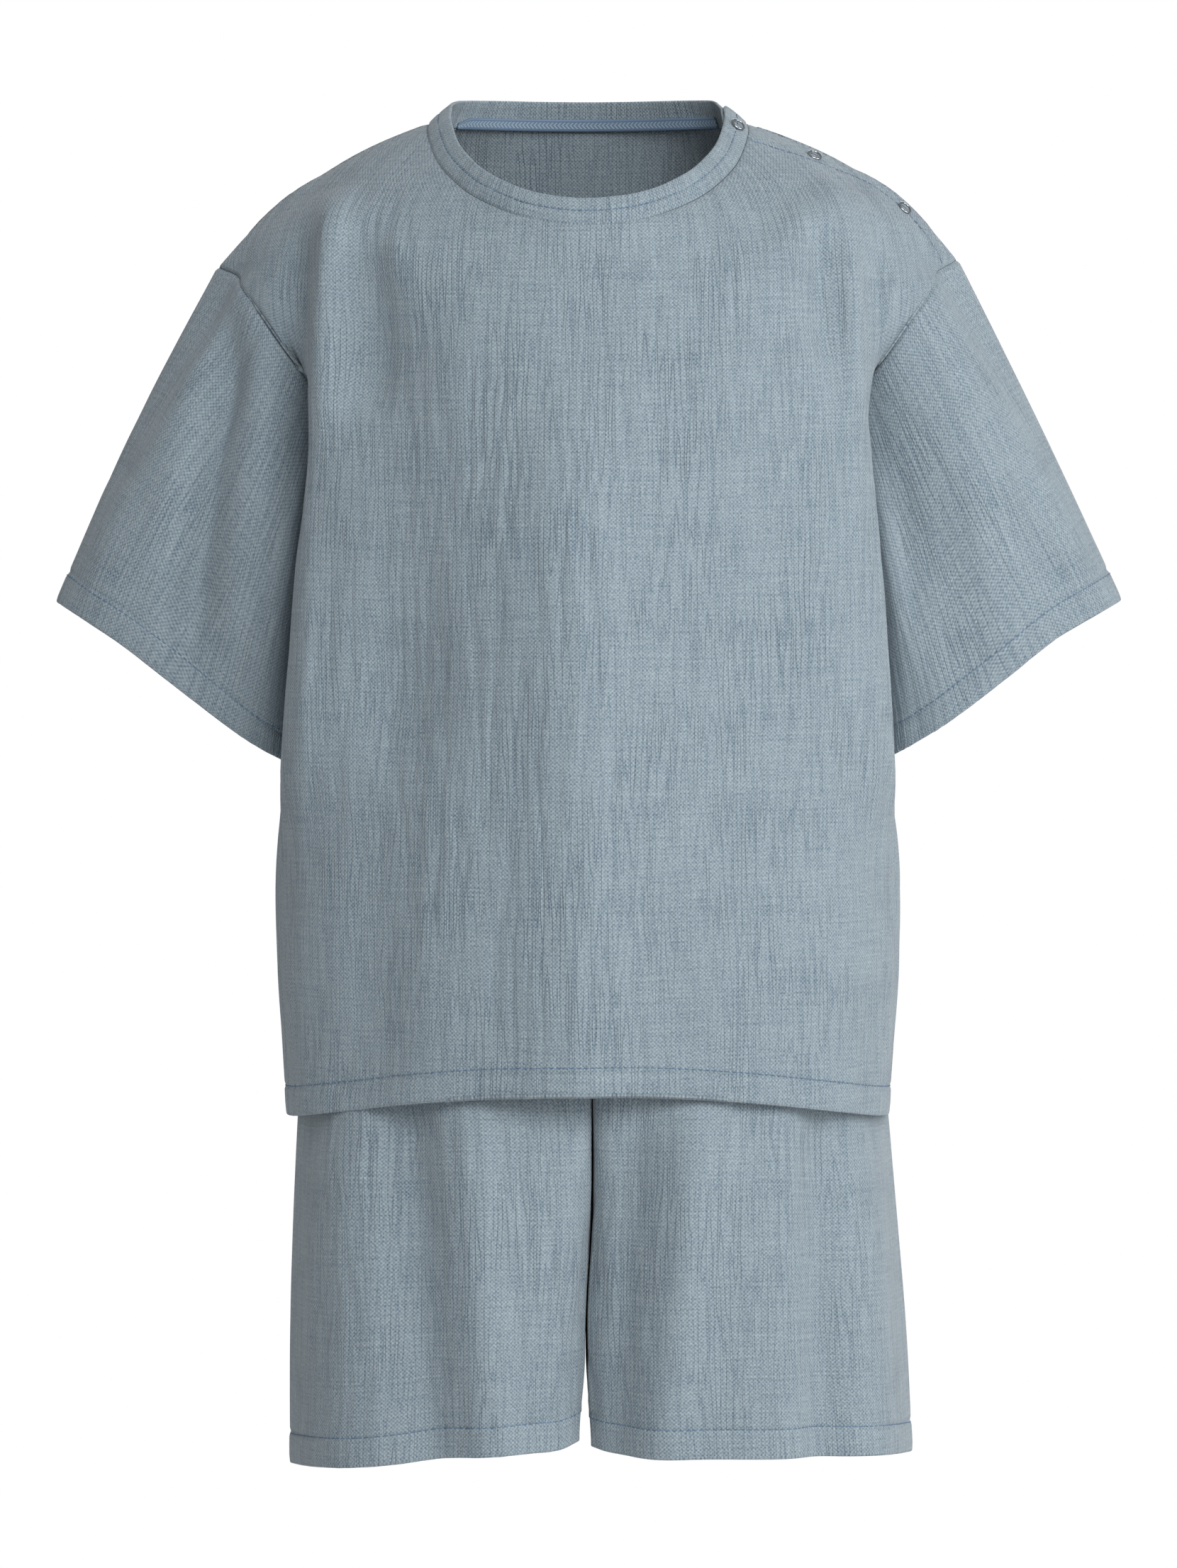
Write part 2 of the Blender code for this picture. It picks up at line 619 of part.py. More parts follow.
def shoulder_underlap():
    """The strip under the left shoulder's opening, sewn to the back and lapped by the front."""
    down = np.linspace(UNDERLAP_START, UNDERLAP_END, 9)
    columns = []
    for is_front, reaches in ((False, (UNDERLAP_BACK, UNDERLAP_BACK / 2)), (True, (0, 0.33, 0.67, 1.0))):
        near = body_points(is_front, np.array((0.96, 1.0)), down)
        length = np.linalg.norm(near[:, 1] - near[:, 0], axis=1) / 0.04
        for reach in reaches:
            reach = reach * UNDERLAP_FRONT if is_front else reach
            row = [body_points(is_front, np.array((1 - reach / length[j],)), down[j:j + 1])[0, 0]
                   for j in range(len(down))]
            columns.append(row)
    points = np.swapaxes(np.array(columns), 0, 1)
    piece = Piece("shoulder_underlap", points, 1)
    facing_out(piece, np.array((0, 0, 1.0)))
    piece.points = piece.points - piece.normals * (WALL + UNDERLAP_DEPTH)
    return piece


def snap_seats(frame):
    """Place and outward direction of each snap: the first on the neckband, then the shoulder."""
    outward = frame[3]
    middle = band_points(frame, (BAND_HEIGHT / 2,))[0]
    half = len(middle) // 2
    x, z = SNAP_PLACES[0]
    nearest = half + int(np.argmin((middle[half:, 0] - x) ** 2 + (middle[half:, 2] - z) ** 2))
    seats = [(middle[nearest], outward[nearest])]
    across = np.linspace(0.86, 0.995, 28)
    down = np.linspace(4, 60, 113)
    points = body_points(True, across, down)
    normals = surface_normals(points, -1, False)
    for x, z in SNAP_PLACES[1:]:
        far = (points[..., 0] - x) ** 2 + (points[..., 2] - z) ** 2 + 0.15 * (points[..., 1] - 1) ** 2
        j, i = np.unravel_index(np.argmin(far), far.shape)
        seats.append((points[j, i], normals[j, i]))
    return seats


def main():
    """Build every piece."""
    for thing in list(bpy.data.objects):
        bpy.data.objects.remove(thing, do_unlink=True)

    front = body_piece("top_front", True)
    back = body_piece("top_back", False)
    left = sleeve_piece("top_sleeve_left", 1, front, back)
    right = sleeve_piece("top_sleeve_right", -1, front, back)
    meet_normals((front, back, left, right))
    frame = band_frame(front, back)
    band = neckband(frame)
    tape = neck_tape(frame)
    underlap = shoulder_underlap()
    for piece in (front, back):
        piece.pull_back(("left", "right", "top"))
    for piece in (left, right):
        piece.pull_back(("top",))
        piece.points[..., 0] += np.sign(piece.points[..., 0]) * piece.clearance
    for piece in (front, back, left, right, band, tape, underlap):
        solid(piece.name, piece.points, piece.normals, piece.wall, piece.closed)
    shoulder = 2 * WALL + UNDERLAP_DEPTH + 0.3
    stack = (2 * BAND_WALL + LAYER_GAP + 0.4, shoulder, shoulder)
    for number, (seat, depth) in enumerate(zip(snap_seats(frame), stack), 1):
        place, axis = seat
        off = LAYER_GAP + SNAP_WIRE * 0.9
        ring(f"snap_{number}_ring", place + axis * off, axis, SNAP_RADIUS, SNAP_WIRE)
        ring(f"snap_{number}_back", place - axis * (depth + off), axis, SNAP_RADIUS, SNAP_WIRE)

    legs = []
    down = np.concatenate((np.linspace(0, CROTCH_LEVEL, LEG_RISE_ROWS + 1),
                           np.linspace(CROTCH_LEVEL, LEG_LEVELS[-1], LEG_SEAM_ROWS + 1)[1:]))
    across = np.linspace(0, 1, LEG_COLUMNS + 1)
    for is_front in (True, False):
        for side, word in ((1, "left"), (-1, "right")):
            points = leg_points(is_front, side, across, down)
            turn = -side if is_front else side
            where = "front" if is_front else "back"
            piece = Piece(f"shorts_{where}_{word}", points, turn)
            heights = fold_heights(points, LEG_FOLDS[side], 1) if is_front else np.zeros(points.shape[:2])
            piece.fold(heights * edge_fade(heights.shape, True, True, False))
            legs.append((piece, side, is_front))
    meet_normals([piece for piece, side, is_front in legs])
    for piece, side, is_front in legs:
        seam = piece.points[:LEG_RISE_ROWS + 1, 0]
        run = unit(np.gradient(seam, axis=0))
        sign = 1 if is_front else -1
        turn = np.stack((np.zeros(len(seam)), sign * run[:, 2], -sign * run[:, 1]), axis=1)
        turn[-1] = (0, 0, -1)
        piece.normals[:LEG_RISE_ROWS + 1, 0] = unit(turn)
    waist = []
    for is_front in (True, False):
        fore = [piece for piece, side, ahead in legs if ahead == is_front]
        left_leg, right_leg = fore[0], fore[1]
        row = np.concatenate((right_leg.points[0, ::-1], left_leg.points[0, 1:]))
        lines = np.concatenate((right_leg.normals[0, ::-1], left_leg.normals[0, 1:]))
        if not is_front:
            row, lines = row[-2:0:-1], lines[-2:0:-1]
        waist.append((row, lines))
    loop = np.concatenate((waist[0][0], waist[1][0]))
    loop_normals = np.concatenate((waist[0][1], waist[1][1]))
    loop[:, 0] = np.where(np.abs(loop[:, 0]) < 0.2, 0, loop[:, 0])
    rows = []
    for share in (1.0, 0.5, 0.0):
        row = loop.copy()
        draw = 1 - (1 - WAIST_TAKE_UP) * share
        row[:, :2] *= draw
        row[:, 2] += WAIST_HEIGHT * share
        rows.append(row)
    belt = Piece("shorts_waistband", np.array(rows), 1, closed=True, wall=WAIST_WALL)
    if np.sum(belt.normals * loop_normals[None]) < 0:
        belt.normals = -belt.normals
    belt.normals[-1] = loop_normals
    belt.pull_back(("bottom",))
    solid(belt.name, belt.points, belt.normals, belt.wall, True)
    for piece, side, is_front in legs:
        seam = piece.points[:LEG_RISE_ROWS + 1, 0].copy()
        piece.pull_back(("left", "right", "top"))
        seam[0, 2] -= SEAM_GAP / 2
        piece.points[:LEG_RISE_ROWS, 0] = seam[:LEG_RISE_ROWS]
        solid(piece.name, piece.points, piece.normals, piece.wall, False)


main()
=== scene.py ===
"""Looks of a short pyjama set in cotton muslin chambray: a boxy top over wide shorts.

Every cloth panel is a fine sheet laid on the form of its solid, with crimped creases along the warp,
turned hems, sewing threads, a woven neck tape and open ring snaps. Tables are in millimetres.
"""

import logging
import math
from dataclasses import dataclass, field
from enum import Enum

import bmesh
import bpy
import numpy as np
from mathutils import Matrix, Vector


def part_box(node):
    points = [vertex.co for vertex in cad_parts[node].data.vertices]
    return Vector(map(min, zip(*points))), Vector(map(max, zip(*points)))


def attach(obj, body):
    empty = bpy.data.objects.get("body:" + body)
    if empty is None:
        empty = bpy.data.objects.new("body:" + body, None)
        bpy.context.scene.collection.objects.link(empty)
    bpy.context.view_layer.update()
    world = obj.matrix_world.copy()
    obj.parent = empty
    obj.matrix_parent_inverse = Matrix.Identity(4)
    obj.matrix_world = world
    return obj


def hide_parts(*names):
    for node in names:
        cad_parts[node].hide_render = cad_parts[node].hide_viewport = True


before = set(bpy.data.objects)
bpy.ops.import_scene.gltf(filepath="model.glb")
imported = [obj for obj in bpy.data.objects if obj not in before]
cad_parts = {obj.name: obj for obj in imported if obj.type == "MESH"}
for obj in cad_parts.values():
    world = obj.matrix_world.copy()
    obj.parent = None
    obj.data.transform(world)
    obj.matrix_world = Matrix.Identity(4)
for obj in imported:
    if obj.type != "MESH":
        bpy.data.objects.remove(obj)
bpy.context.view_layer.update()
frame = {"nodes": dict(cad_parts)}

MM = 0.001
LOG = logging.getLogger("pyjama_set")
Array = np.ndarray


class Face(Enum):
    """Front or back of the garment."""

    FRONT = "front"
    BACK = "back"


class Side(Enum):
    """Wearer's side, with the sign of its x."""

    LEFT = 1
    RIGHT = -1


# Across places of the top's panels: fine lines, and the lines that the rows name
COLUMNS = (0.0, 0.19, 0.38, 0.57, 0.76, 0.88, 1.0)
STATIONS = (0.0, 0.38, 0.76, 1.0)

# Rows of the top down to the armhole's end: drop, centre (y, z), middle, ridge and edge (x, y, z),
# and how far the cloth beside the edge is tucked in behind the sleeve.
BODY_ROWS = {
    Face.FRONT: (
        (31, (-68, -69), (57, -54, -56), (90, -17, -30), (106.5, 14, -24.6), 0),
        (64, (-73, -90), (63, -63, -78), (106, -29, -47.5), (149.4, 13, -61.8), 0),
        (86, (-77, -109), (63, -68, -99), (107, -37, -72), (137, -13, -76), 0),
        (114, (-80.5, -131), (63.5, -71.5, -123), (108.5, -41, -104), (117.6, -20, -103.5), 0),
        (124, (-81.6, -138.6), (63.9, -72.6, -131.3), (109.4, -41.2, -115.5), (109.6, -14.5, -113.5), 0.8),
        (143, (-83.5, -153), (64.5, -74.5, -147), (111.5, -41, -138), (108.5, -9, -144), 1.5),
        (171, (-86.5, -175), (66, -77, -173), (115, -40, -171), (109.5, 8, -171), 5),
        (207, (-90, -210), (68, -79.5, -209), (118.2, -40, -208), (107, 12, -207), 4),
        (250, (-94, -252), (70, -82, -251), (120.8, -40, -250), (109.5, 13, -250), 3),
    ),
    Face.BACK: (
        (31, (56, -22), (52, 50, -22), (88, 34, -27.5), (106.5, 14, -24.6), 0),
        (64, (61, -47), (60, 57, -47), (104.5, 44, -49), (149.4, 13, -61.8), 0),
        (86, (63.5, -70), (62, 61, -70), (107, 50, -75), (139.5, 38, -78), 0),
        (114, (65.5, -98), (63, 63, -98), (109, 51, -104), (121, 46, -106), 0),
        (143, (67, -133), (64, 64, -133), (108.5, 50, -137), (110, 34, -144), 1),
        (171, (68, -169), (66, 65, -169), (107, 48, -171), (109.5, 8, -171), 4),
        (207, (70, -207), (68, 66, -207), (106.5, 46, -208), (107, 12, -207), 2),
        (250, (72.5, -250), (70, 67, -250), (109.5, 46, -250), (109.5, 13, -250), 1),
    ),
}
# Sections below the sleeves: drop, side z, centre front z, half width, front, back, seam y, power.
TORSO_ROWS = (
    (298, -298, -298.5, 124.3, 97, 75, 4, 2.5),
    (340, -340, -339, 124.9, 98, 77, 2, 2.5),
    (378, -378, -372, 122.6, 97, 77.5, 1, 2.5),
    (405, -405, -393.6, 120.7, 96, 77.5, 0, 2.5),
)
# Rows of the wearer's left leg: seam (y, z), inner corner, middle, outer corner and side (x, y, z),
# and the share of the width that the other leg has.
LEG_ROWS = {
    Face.FRONT: (
        ((-73, -252), (13, -72.5, -252), (52, -66, -252), (84, -42, -252), (94, 2, -252), 1.0),
        ((-84, -300), (14, -83.5, -300), (60, -76, -300), (96, -47, -300), (108, 2, -300), 0.995),
        ((-88.5, -345), (14, -88.5, -345), (63, -81, -345), (103, -50, -345), (115, 2, -345), 0.985),
        ((-83, -383), (12, -88, -385), (64, -82, -386), (104, -51, -386), (118.6, 2, -387), 0.977),
        ((-60, -404), (7.5, -87.5, -405), (64, -83, -406), (105, -51.5, -406), (120.4, 2, -406), 0.972),
        ((-24, -418), (4, -84, -424), (65, -86, -426), (108, -53, -427), (122.2, 2, -428), 0.966),
        ((6, -425), (3, -80, -447), (65, -87, -450), (111, -54, -451), (124.2, 2, -452), 0.958),
        ((6, -470), (2.6, -76, -485), (66, -87, -490), (114, -53, -491), (127.4, 2, -492), 0.942),
        ((6, -533), (5, -72, -534.5), (67, -84.5, -535.5), (116, -52, -537), (129.7, 2, -541), 0.925),
    ),
    Face.BACK: (
        ((64, -252), (13, 63.5, -252), (52, 58, -252), (84, 38, -252), (94, 2, -252), 1.0),
        ((68, -300), (14, 67.5, -300), (60, 61, -300), (96, 40, -300), (108, 2, -300), 0.995),
        ((70, -345), (14, 70, -345), (63, 62, -345), (102, 42, -345), (115, 2, -345), 0.985),
        ((68, -383), (12, 70.5, -385), (64, 62, -386), (103, 42, -386), (118.6, 2, -387), 0.977),
        ((56, -404), (7.5, 70, -405), (64, 62.5, -406), (104, 42.5, -406), (120.4, 2, -406), 0.972),
        ((30, -418), (4, 68, -424), (65, 65, -426), (107, 45, -427), (122.2, 2, -428), 0.966),
        ((6, -425), (3, 66, -447), (65, 67, -450), (110, 46, -451), (124.2, 2, -452), 0.958),
        ((6, -470), (2.6, 63, -485), (66, 67, -490), (114, 46, -491), (127.4, 2, -492), 0.942),
        ((6, -533), (5, 60, -535), (67, 66, -537), (116, 45, -539), (129.7, 2, -541), 0.925),
    ),
}
LEG_STATIONS = (0.0, 0.3, 0.58, 0.83, 1.0)
LEG_LEVELS = (0, 48, 93, 132, 156, 182, 206, 246, 292)
CROTCH_LEVEL = 206
SEAM_X = 0.06
TIP_LEVEL = 64
# Rows of a panel's grid beside a hem's stitching, as distances from it
HEM_ROWS = (-1.5, -0.7, 0, 0.7, 1.5)
UNDERARM_LEVEL = 171

# Large folds, seen from the front: x and z of both ends, half width, height out of the cloth.
BODY_FOLDS = {
    Face.FRONT: (
        (-103, -44, -106, -128, 8, 3.0),
        (-86, -50, -88, -120, 9, -3.5),
        (104, -50, 108, -120, 7, 2.5),
        (92, -56, 93, -102, 7, -3.0),
        (-4, -130, -6, -420, 24, 7.5),
        (-82, -80, -74, -250, 27, -7.5),
        (-76, -215, -92, -400, 23, -6.5),
        (58, -150, 66, -330, 30, -2.0),
        (-104, -300, -108, -410, 9, 1.5),
    ),
    Face.BACK: (
        (-62, -90, -70, -400, 22, -3.0),
        (60, -110, 74, -400, 20, -3.0),
        (6, -160, 10, -420, 20, 4.0),
        (-92, -150, -96, -400, 12, 3.0),
        (88, -170, 95, -400, 11, 3.0),
        (-100, -60, -103, -150, 10, 2.5),
        (100, -60, 104, -150, 10, 2.5),
    ),
}
SLEEVE_FOLDS = {
    Side.RIGHT: (
        (-138, -66, -160, -215, 10, -12.0),
        (-126, -100, -140, -225, 9, 2.0),
        (-190, -150, -197, -200, 10, 1.5),
    ),
    Side.LEFT: (
        (124, -150, 134, -262, 7, -1.5),
        (146, -100, 166, -220, 12, 2.0),
        (172, -140, 184, -196, 9, -1.5),
    ),
}
LEG_FOLDS = {
    Side.RIGHT: (
        (-72, -390, -58, -550, 12, -7.0),
        (-47, -400, -35, -550, 12, 4.0),
        (-96, -400, -94, -550, 14, 3.5),
    ),
    Side.LEFT: (
        (17, -400, 9, -550, 10, -3.5),
        (43, -400, 29, -550, 12, 5.5),
        (92, -390, 93, -550, 10, -7.5),
        (112, -405, 116, -550, 9, 1.5),
    ),
}

# Crisp folds of the front beside the sleeves: x and z of both ends, half width towards the middle and
# towards the sleeve, height out of the cloth.
CRISP_FOLDS = (
    (-104, -38, -112, -150, 10, 1.8, 4.6),
    (-110, -50, -116.5, -150, 2.6, 9, -8.5),
    (105.5, -44, 110, -150, 8, 1.7, 2.2),
    (110.5, -56, 117.5, -165, 3.4, 6, -5.2),
    (-112, -170, -118, -400, 7, 3, 3.4),
    (113, -170, 119, -300, 6, 3, 0.8),
)


def through(knots: Array, values: Array, at: Array) -> Array:
    """Smooth line through the values at the knots, with its slope averaged at each knot.

    Args:
        knots: rising places of the values.
        values: one value, point or row of points for each knot.
        at: places where the line is wanted.

    Returns:
        The line's values at those places.
    """
    knots = np.asarray(knots, float)
    values = np.asarray(values, float)
    at = np.asarray(at, float)
    step = np.diff(knots)
    shape = (-1,) + (1,) * (values.ndim - 1)
    slope = np.diff(values, axis=0) / step.reshape(shape)
    tangent = np.empty_like(values)
    weight = (step[1:] / (step[1:] + step[:-1])).reshape(shape)
    tangent[1:-1] = weight * slope[:-1] + (1 - weight) * slope[1:]
    tangent[0] = 1.5 * slope[0] - 0.5 * tangent[1]
    tangent[-1] = 1.5 * slope[-1] - 0.5 * tangent[-2]
    part = np.clip(np.searchsorted(knots, at, side="right") - 1, 0, len(knots) - 2)
    h = step[part].reshape(shape)
    t = ((at - knots[part]) / step[part]).reshape(h.shape)
    start = (1 + 2 * t) * (1 - t) ** 2 * values[part] + t * (1 - t) ** 2 * h * tangent[part]
    end = t ** 2 * (3 - 2 * t) * values[part + 1] + t ** 2 * (t - 1) * h * tangent[part + 1]
    return start + end


def unit(vectors: Array) -> Array:
    """Vectors of length one."""
    length = np.linalg.norm(vectors, axis=-1, keepdims=True)
    return vectors / np.maximum(length, 1e-9)


def ease(value: Array) -> Array:
    """Smooth step from 0 to 1."""
    value = np.clip(value, 0, 1)
    return value * value * (3 - 2 * value)


def run_length(points: Array) -> Array:
    """Length along a line of points, from 0 at its first."""
    return np.concatenate(([0], np.cumsum(np.linalg.norm(np.diff(points, axis=0), axis=1))))


def value_noise(u: Array, v: Array, seed: int) -> Array:
    """Smooth random field.

    Args:
        u: places across, in cells of the field.
        v: places down, in cells of the field.
        seed: number that fixes the field.

    Returns:
        Values between -1 and 1.
    """
    size = 512
    lattice = np.random.default_rng(seed).uniform(-1, 1, (size, size))
    i, j = np.floor(u).astype(int), np.floor(v).astype(int)
    a, b = ease(u - i), ease(v - j)
    top = lattice[j % size, i % size] * (1 - a) + lattice[j % size, (i + 1) % size] * a
    low = lattice[(j + 1) % size, i % size] * (1 - a) + lattice[(j + 1) % size, (i + 1) % size] * a
    return top * (1 - b) + low * b


@dataclass(frozen=True)
class Neck:
    """Neck seam of the top, by the angle from its centre front."""

    half_width: float = 65.0
    side_y: float = 4.0
    side_z: float = -6.0
    front_reach: float = 68.0
    front_drop: float = 47.0
    back_reach: float = 46.0
    back_rise: float = 1.5
    shoulder_angle: float = 98.0

    def point(self, angle: float) -> tuple[float, float, float]:
        """Point of the seam at an angle in degrees."""
        turn = math.radians(angle)
        x, ahead = self.half_width * math.sin(turn), math.cos(turn)
        if ahead >= 0:
            return x, self.side_y - self.front_reach * ahead, self.side_z - self.front_drop * ahead
        return x, self.side_y - self.back_reach * ahead, self.side_z - self.back_rise * ahead


@dataclass(frozen=True)
class BodyForm:
    """Outer form of the top's front or back."""

    face: Face
    neck: Neck = Neck()
    shoulder_round: float = 3.0
    left_rise: float = 1.6
    hip_swell: float = 2.1
    seam_jog: float = 3.6

    def section(self, row: tuple) -> Array:
        """Half of a section below the sleeves, a superellipse sampled at the columns.

        Args:
            row: one row of the torso table.

        Returns:
            Points from the centre to the side seam.
        """
        drop, side_z, centre_z, wide, fore, aft, seam_y, power = row
        is_front = self.face is Face.FRONT
        reach = -(fore + seam_y) if is_front else aft - seam_y
        middle_z = centre_z if is_front else side_z
        turns = np.linspace(0, math.pi / 2, 181)
        x = wide * np.sin(turns) ** (2 / power)
        y = seam_y + reach * np.cos(turns) ** (2 / power)
        x[-1], y[-1] = wide, seam_y
        length = run_length(np.stack((x, y), axis=1))
        at = np.array(COLUMNS) * length[-1]
        x, y = np.interp(at, length, x), np.interp(at, length, y)
        return np.stack((x, y, middle_z + (side_z - middle_z) * (x / wide) ** 2), axis=1)

    def net(self) -> tuple[Array, Array]:
        """Levels of the form's rows, and its points across the full width."""
        is_front = self.face is Face.FRONT
        angles = (0, 40, 70, self.neck.shoulder_angle)
        if not is_front:
            angles = (180, 140, 115, self.neck.shoulder_angle)
        turns = through(STATIONS, np.array(angles, float), COLUMNS)
        halves = [np.array([self.neck.point(turn) for turn in turns])]
        levels = [0.0]
        knots = np.concatenate((-np.array(STATIONS[:0:-1]), STATIONS))
        for drop, centre, middle, ridge, edge, tuck in BODY_ROWS[self.face]:
            half = np.array(((0,) + centre, middle, ridge, edge), float)
            row = through(knots, np.concatenate((half[:0:-1] * (-1, 1, 1), half)), COLUMNS)
            row[-2, 0] -= tuck
            halves.append(row)
            levels.append(drop)
        for row in TORSO_ROWS:
            halves.append(self.section(row))
            levels.append(row[0])
        net = np.array(halves)
        return np.array(levels, float), np.concatenate((net[:, :0:-1] * (-1, 1, 1), net), axis=1)

    def edge(self, down: Array) -> Array:
        """Shoulder seam, armhole and side seam, each smooth by itself.

        Args:
            down: drops where the edge is wanted.

        Returns:
            Points of the edge on the wearer's left.
        """
        table = BODY_ROWS[self.face]
        levels = np.array([0.0] + [row[0] for row in table] + [row[0] for row in TORSO_ROWS])
        line = [self.neck.point(self.neck.shoulder_angle)] + [row[4] for row in table]
        line = np.array(line + [(row[3], row[6], row[1]) for row in TORSO_ROWS], float)
        result = np.empty((len(down), 3))
        tip, underarm = list(levels).index(TIP_LEVEL), list(levels).index(UNDERARM_LEVEL)
        for first, last in ((0, tip), (tip, underarm), (underarm, len(levels) - 1)):
            inside = (down >= levels[first] - 1e-9) & (down <= levels[last] + 1e-9)
            part = slice(first, last + 1)
            result[inside] = through(levels[part], line[part], down[inside])
        outer = np.clip((down - table[0][0]) / (TIP_LEVEL - table[0][0]), 0, 1)
        result[:, 2] += self.shoulder_round * np.sin(math.pi * outer)
        if self.face is Face.FRONT:
            jog = np.exp(-((down - TIP_LEVEL - 9) / 6) ** 2) * ease((down - TIP_LEVEL) / 4)
            result[:, 0] -= self.seam_jog * jog
        return result

    def points(self, across: Array, down: Array) -> Array:
        """Points of the form.

        Args:
            across: places from -1, the right seam, to 1, the left seam.
            down: drops from the neck seam.

        Returns:
            A grid of points, a row for each drop.
        """
        levels, net = self.net()
        rows = through(levels, net, down)
        edge = self.edge(down)
        rows[:, -1] = edge
        rows[:, 0] = edge * (-1, 1, 1)
        knots = np.concatenate((-np.array(COLUMNS[:0:-1]), COLUMNS))
        grid = np.swapaxes(through(knots, np.swapaxes(rows, 0, 1), across), 0, 1)
        grid[..., 2] += self.left_rise * grid[..., 0] / 110 * np.exp(-((down - 45) / 30) ** 2)[:, None]
        side = np.sign(across) * ease((np.abs(across) - 0.55) / 0.3)
        grid[..., 0] += self.hip_swell * side[None, :] * np.exp(-((down - 273) / 18) ** 2)[:, None]
        return grid


@dataclass(frozen=True)
class LegForm:
    """Outer form of one leg's front or back."""

    face: Face
    side: Side

    def points(self, across: Array, down: Array) -> Array:
        """Points of the form.

        Args:
            across: places from 0, the middle seam and inseam, to 1, the side seam.
            down: drops from the waistband.

        Returns:
            A grid of points, a row for each drop.
        """
        rows = []
        for seam, inner, middle, corner, edge, share in LEG_ROWS[self.face]:
            row = np.array(((0.0,) + seam, inner, middle, corner, edge), float)
            if self.side is Side.RIGHT:
                row[:, 0] *= share
            rows.append(row)
        net = np.array(rows)
        levels = np.array(LEG_LEVELS, float)
        rise, inseam = levels <= CROTCH_LEVEL, levels >= CROTCH_LEVEL
        rows = through(levels, net, down)
        above = down <= CROTCH_LEVEL
        rows[above, 0] = through(levels[rise], net[rise, 0], down[above])
        line = net[inseam, 0].copy()
        line[1:, 0] = np.maximum(net[inseam, 1, 0] - 1.2, SEAM_X)[1:]
        rows[~above, 0] = through(levels[inseam], line, down[~above])
        points = np.swapaxes(through(LEG_STATIONS, np.swapaxes(rows, 0, 1), across), 0, 1)
        points[..., 0] = np.maximum(points[..., 0], SEAM_X) * self.side.value
        return points

    def settle(self, points: Array, down: Array) -> Array:
        """Part the legs below the crotch, lead the middle seam sideways and level the hem as shown.

        Args:
            points: grid of points of the leg.
            down: drops of its rows.

        Returns:
            The settled grid.
        """
        points = points.copy()
        x, z = points[..., 0] * self.side.value, points[..., 2]
        if self.side is Side.LEFT:
            x = x * (1 + 0.008 * ease((x - 20) / 60))
        x = np.maximum(x, SEAM_X + 2.2 * ease((-498 - z) / 36))
        drift = (1.6 - 2.6 * ease((-430 - z) / 70)) * np.exp(-(x / 30) ** 2)
        led = 1.0 if self.face is Face.FRONT else ease((down - 120) / (CROTCH_LEVEL - 120))[:, None]
        points[..., 0] = x * self.side.value + drift * led
        if self.side is Side.RIGHT:
            points[..., 2] += (1.6 - 6.3 * ease((x - 20) / 95)) * ease((down - 150) / 142)[:, None]
        corner = 3.0 if self.side is Side.RIGHT else 1.8
        points[..., 2] += corner * np.exp(-(x / 7) ** 2) * ease((down - 250) / 42)[:, None]
        return points


def fold_heights(points: Array, folds: tuple, facing: Array | float = 1.0) -> Array:
    """Height of the large folds at each point, with soft ends.

    Args:
        points: grid of points.
        folds: table of folds.
        facing: share of the fold that each point takes.

    Returns:
        Heights out of the cloth.
    """
    x, z = points[..., 0], points[..., 2]
    height = np.zeros(x.shape)
    for x0, z0, x1, z1, half_width, rise in folds:
        along = np.array((x1 - x0, z1 - z0), float)
        length = np.hypot(*along)
        along /= length
        run = (x - x0) * along[0] + (z - z0) * along[1]
        off = (x - x0) * along[1] - (z - z0) * along[0]
        soft = 0.3 * length
        window = ease(run / soft + 0.5) * ease((length - run) / soft + 0.5)
        height += rise * window * np.exp(-(off / half_width) ** 2)
    return height * facing


def press_hem(heights: Array, above: Array, hem: float, groove: float = 0.4, groove_width: float = 0.9,
              fullness: float = 0.3, soft: float = 3) -> Array:
    """Heights with the groove of a hem's stitching and the fullness of the turned cloth below it.

    Args:
        heights: heights of the creases.
        above: height of each place above the hem's fold.
        hem: depth of the hem.
        groove: depth of the groove that the stitching pulls in.
        groove_width: half width of the groove.
        fullness: how far the doubled cloth stands out.
        soft: length over which it does.

    Returns:
        The new heights.
    """
    heights = heights - groove * np.exp(-((above - hem) / groove_width) ** 2)
    return heights + fullness * ease(above / soft) * ease((hem - above) / soft)


def crisp_heights(points: Array) -> Array:
    """Height of the crisp folds, steeper on the side of the sleeve.

    Args:
        points: grid of points of the front.

    Returns:
        Heights out of the cloth.
    """
    x, z = points[..., 0], points[..., 2]
    height = np.zeros(x.shape)
    for x0, z0, x1, z1, inner, outer, rise in CRISP_FOLDS:
        run = (z - z0) / (z1 - z0)
        off = (x - (x0 + (x1 - x0) * run)) * np.sign(x0)
        width = np.where(off < 0, inner, outer)
        window = ease(run / 0.3 + 0.4) * ease((1 - run) / 0.3 + 0.4)
        height += rise * window * np.exp(-(off / width) ** 2)
    return height


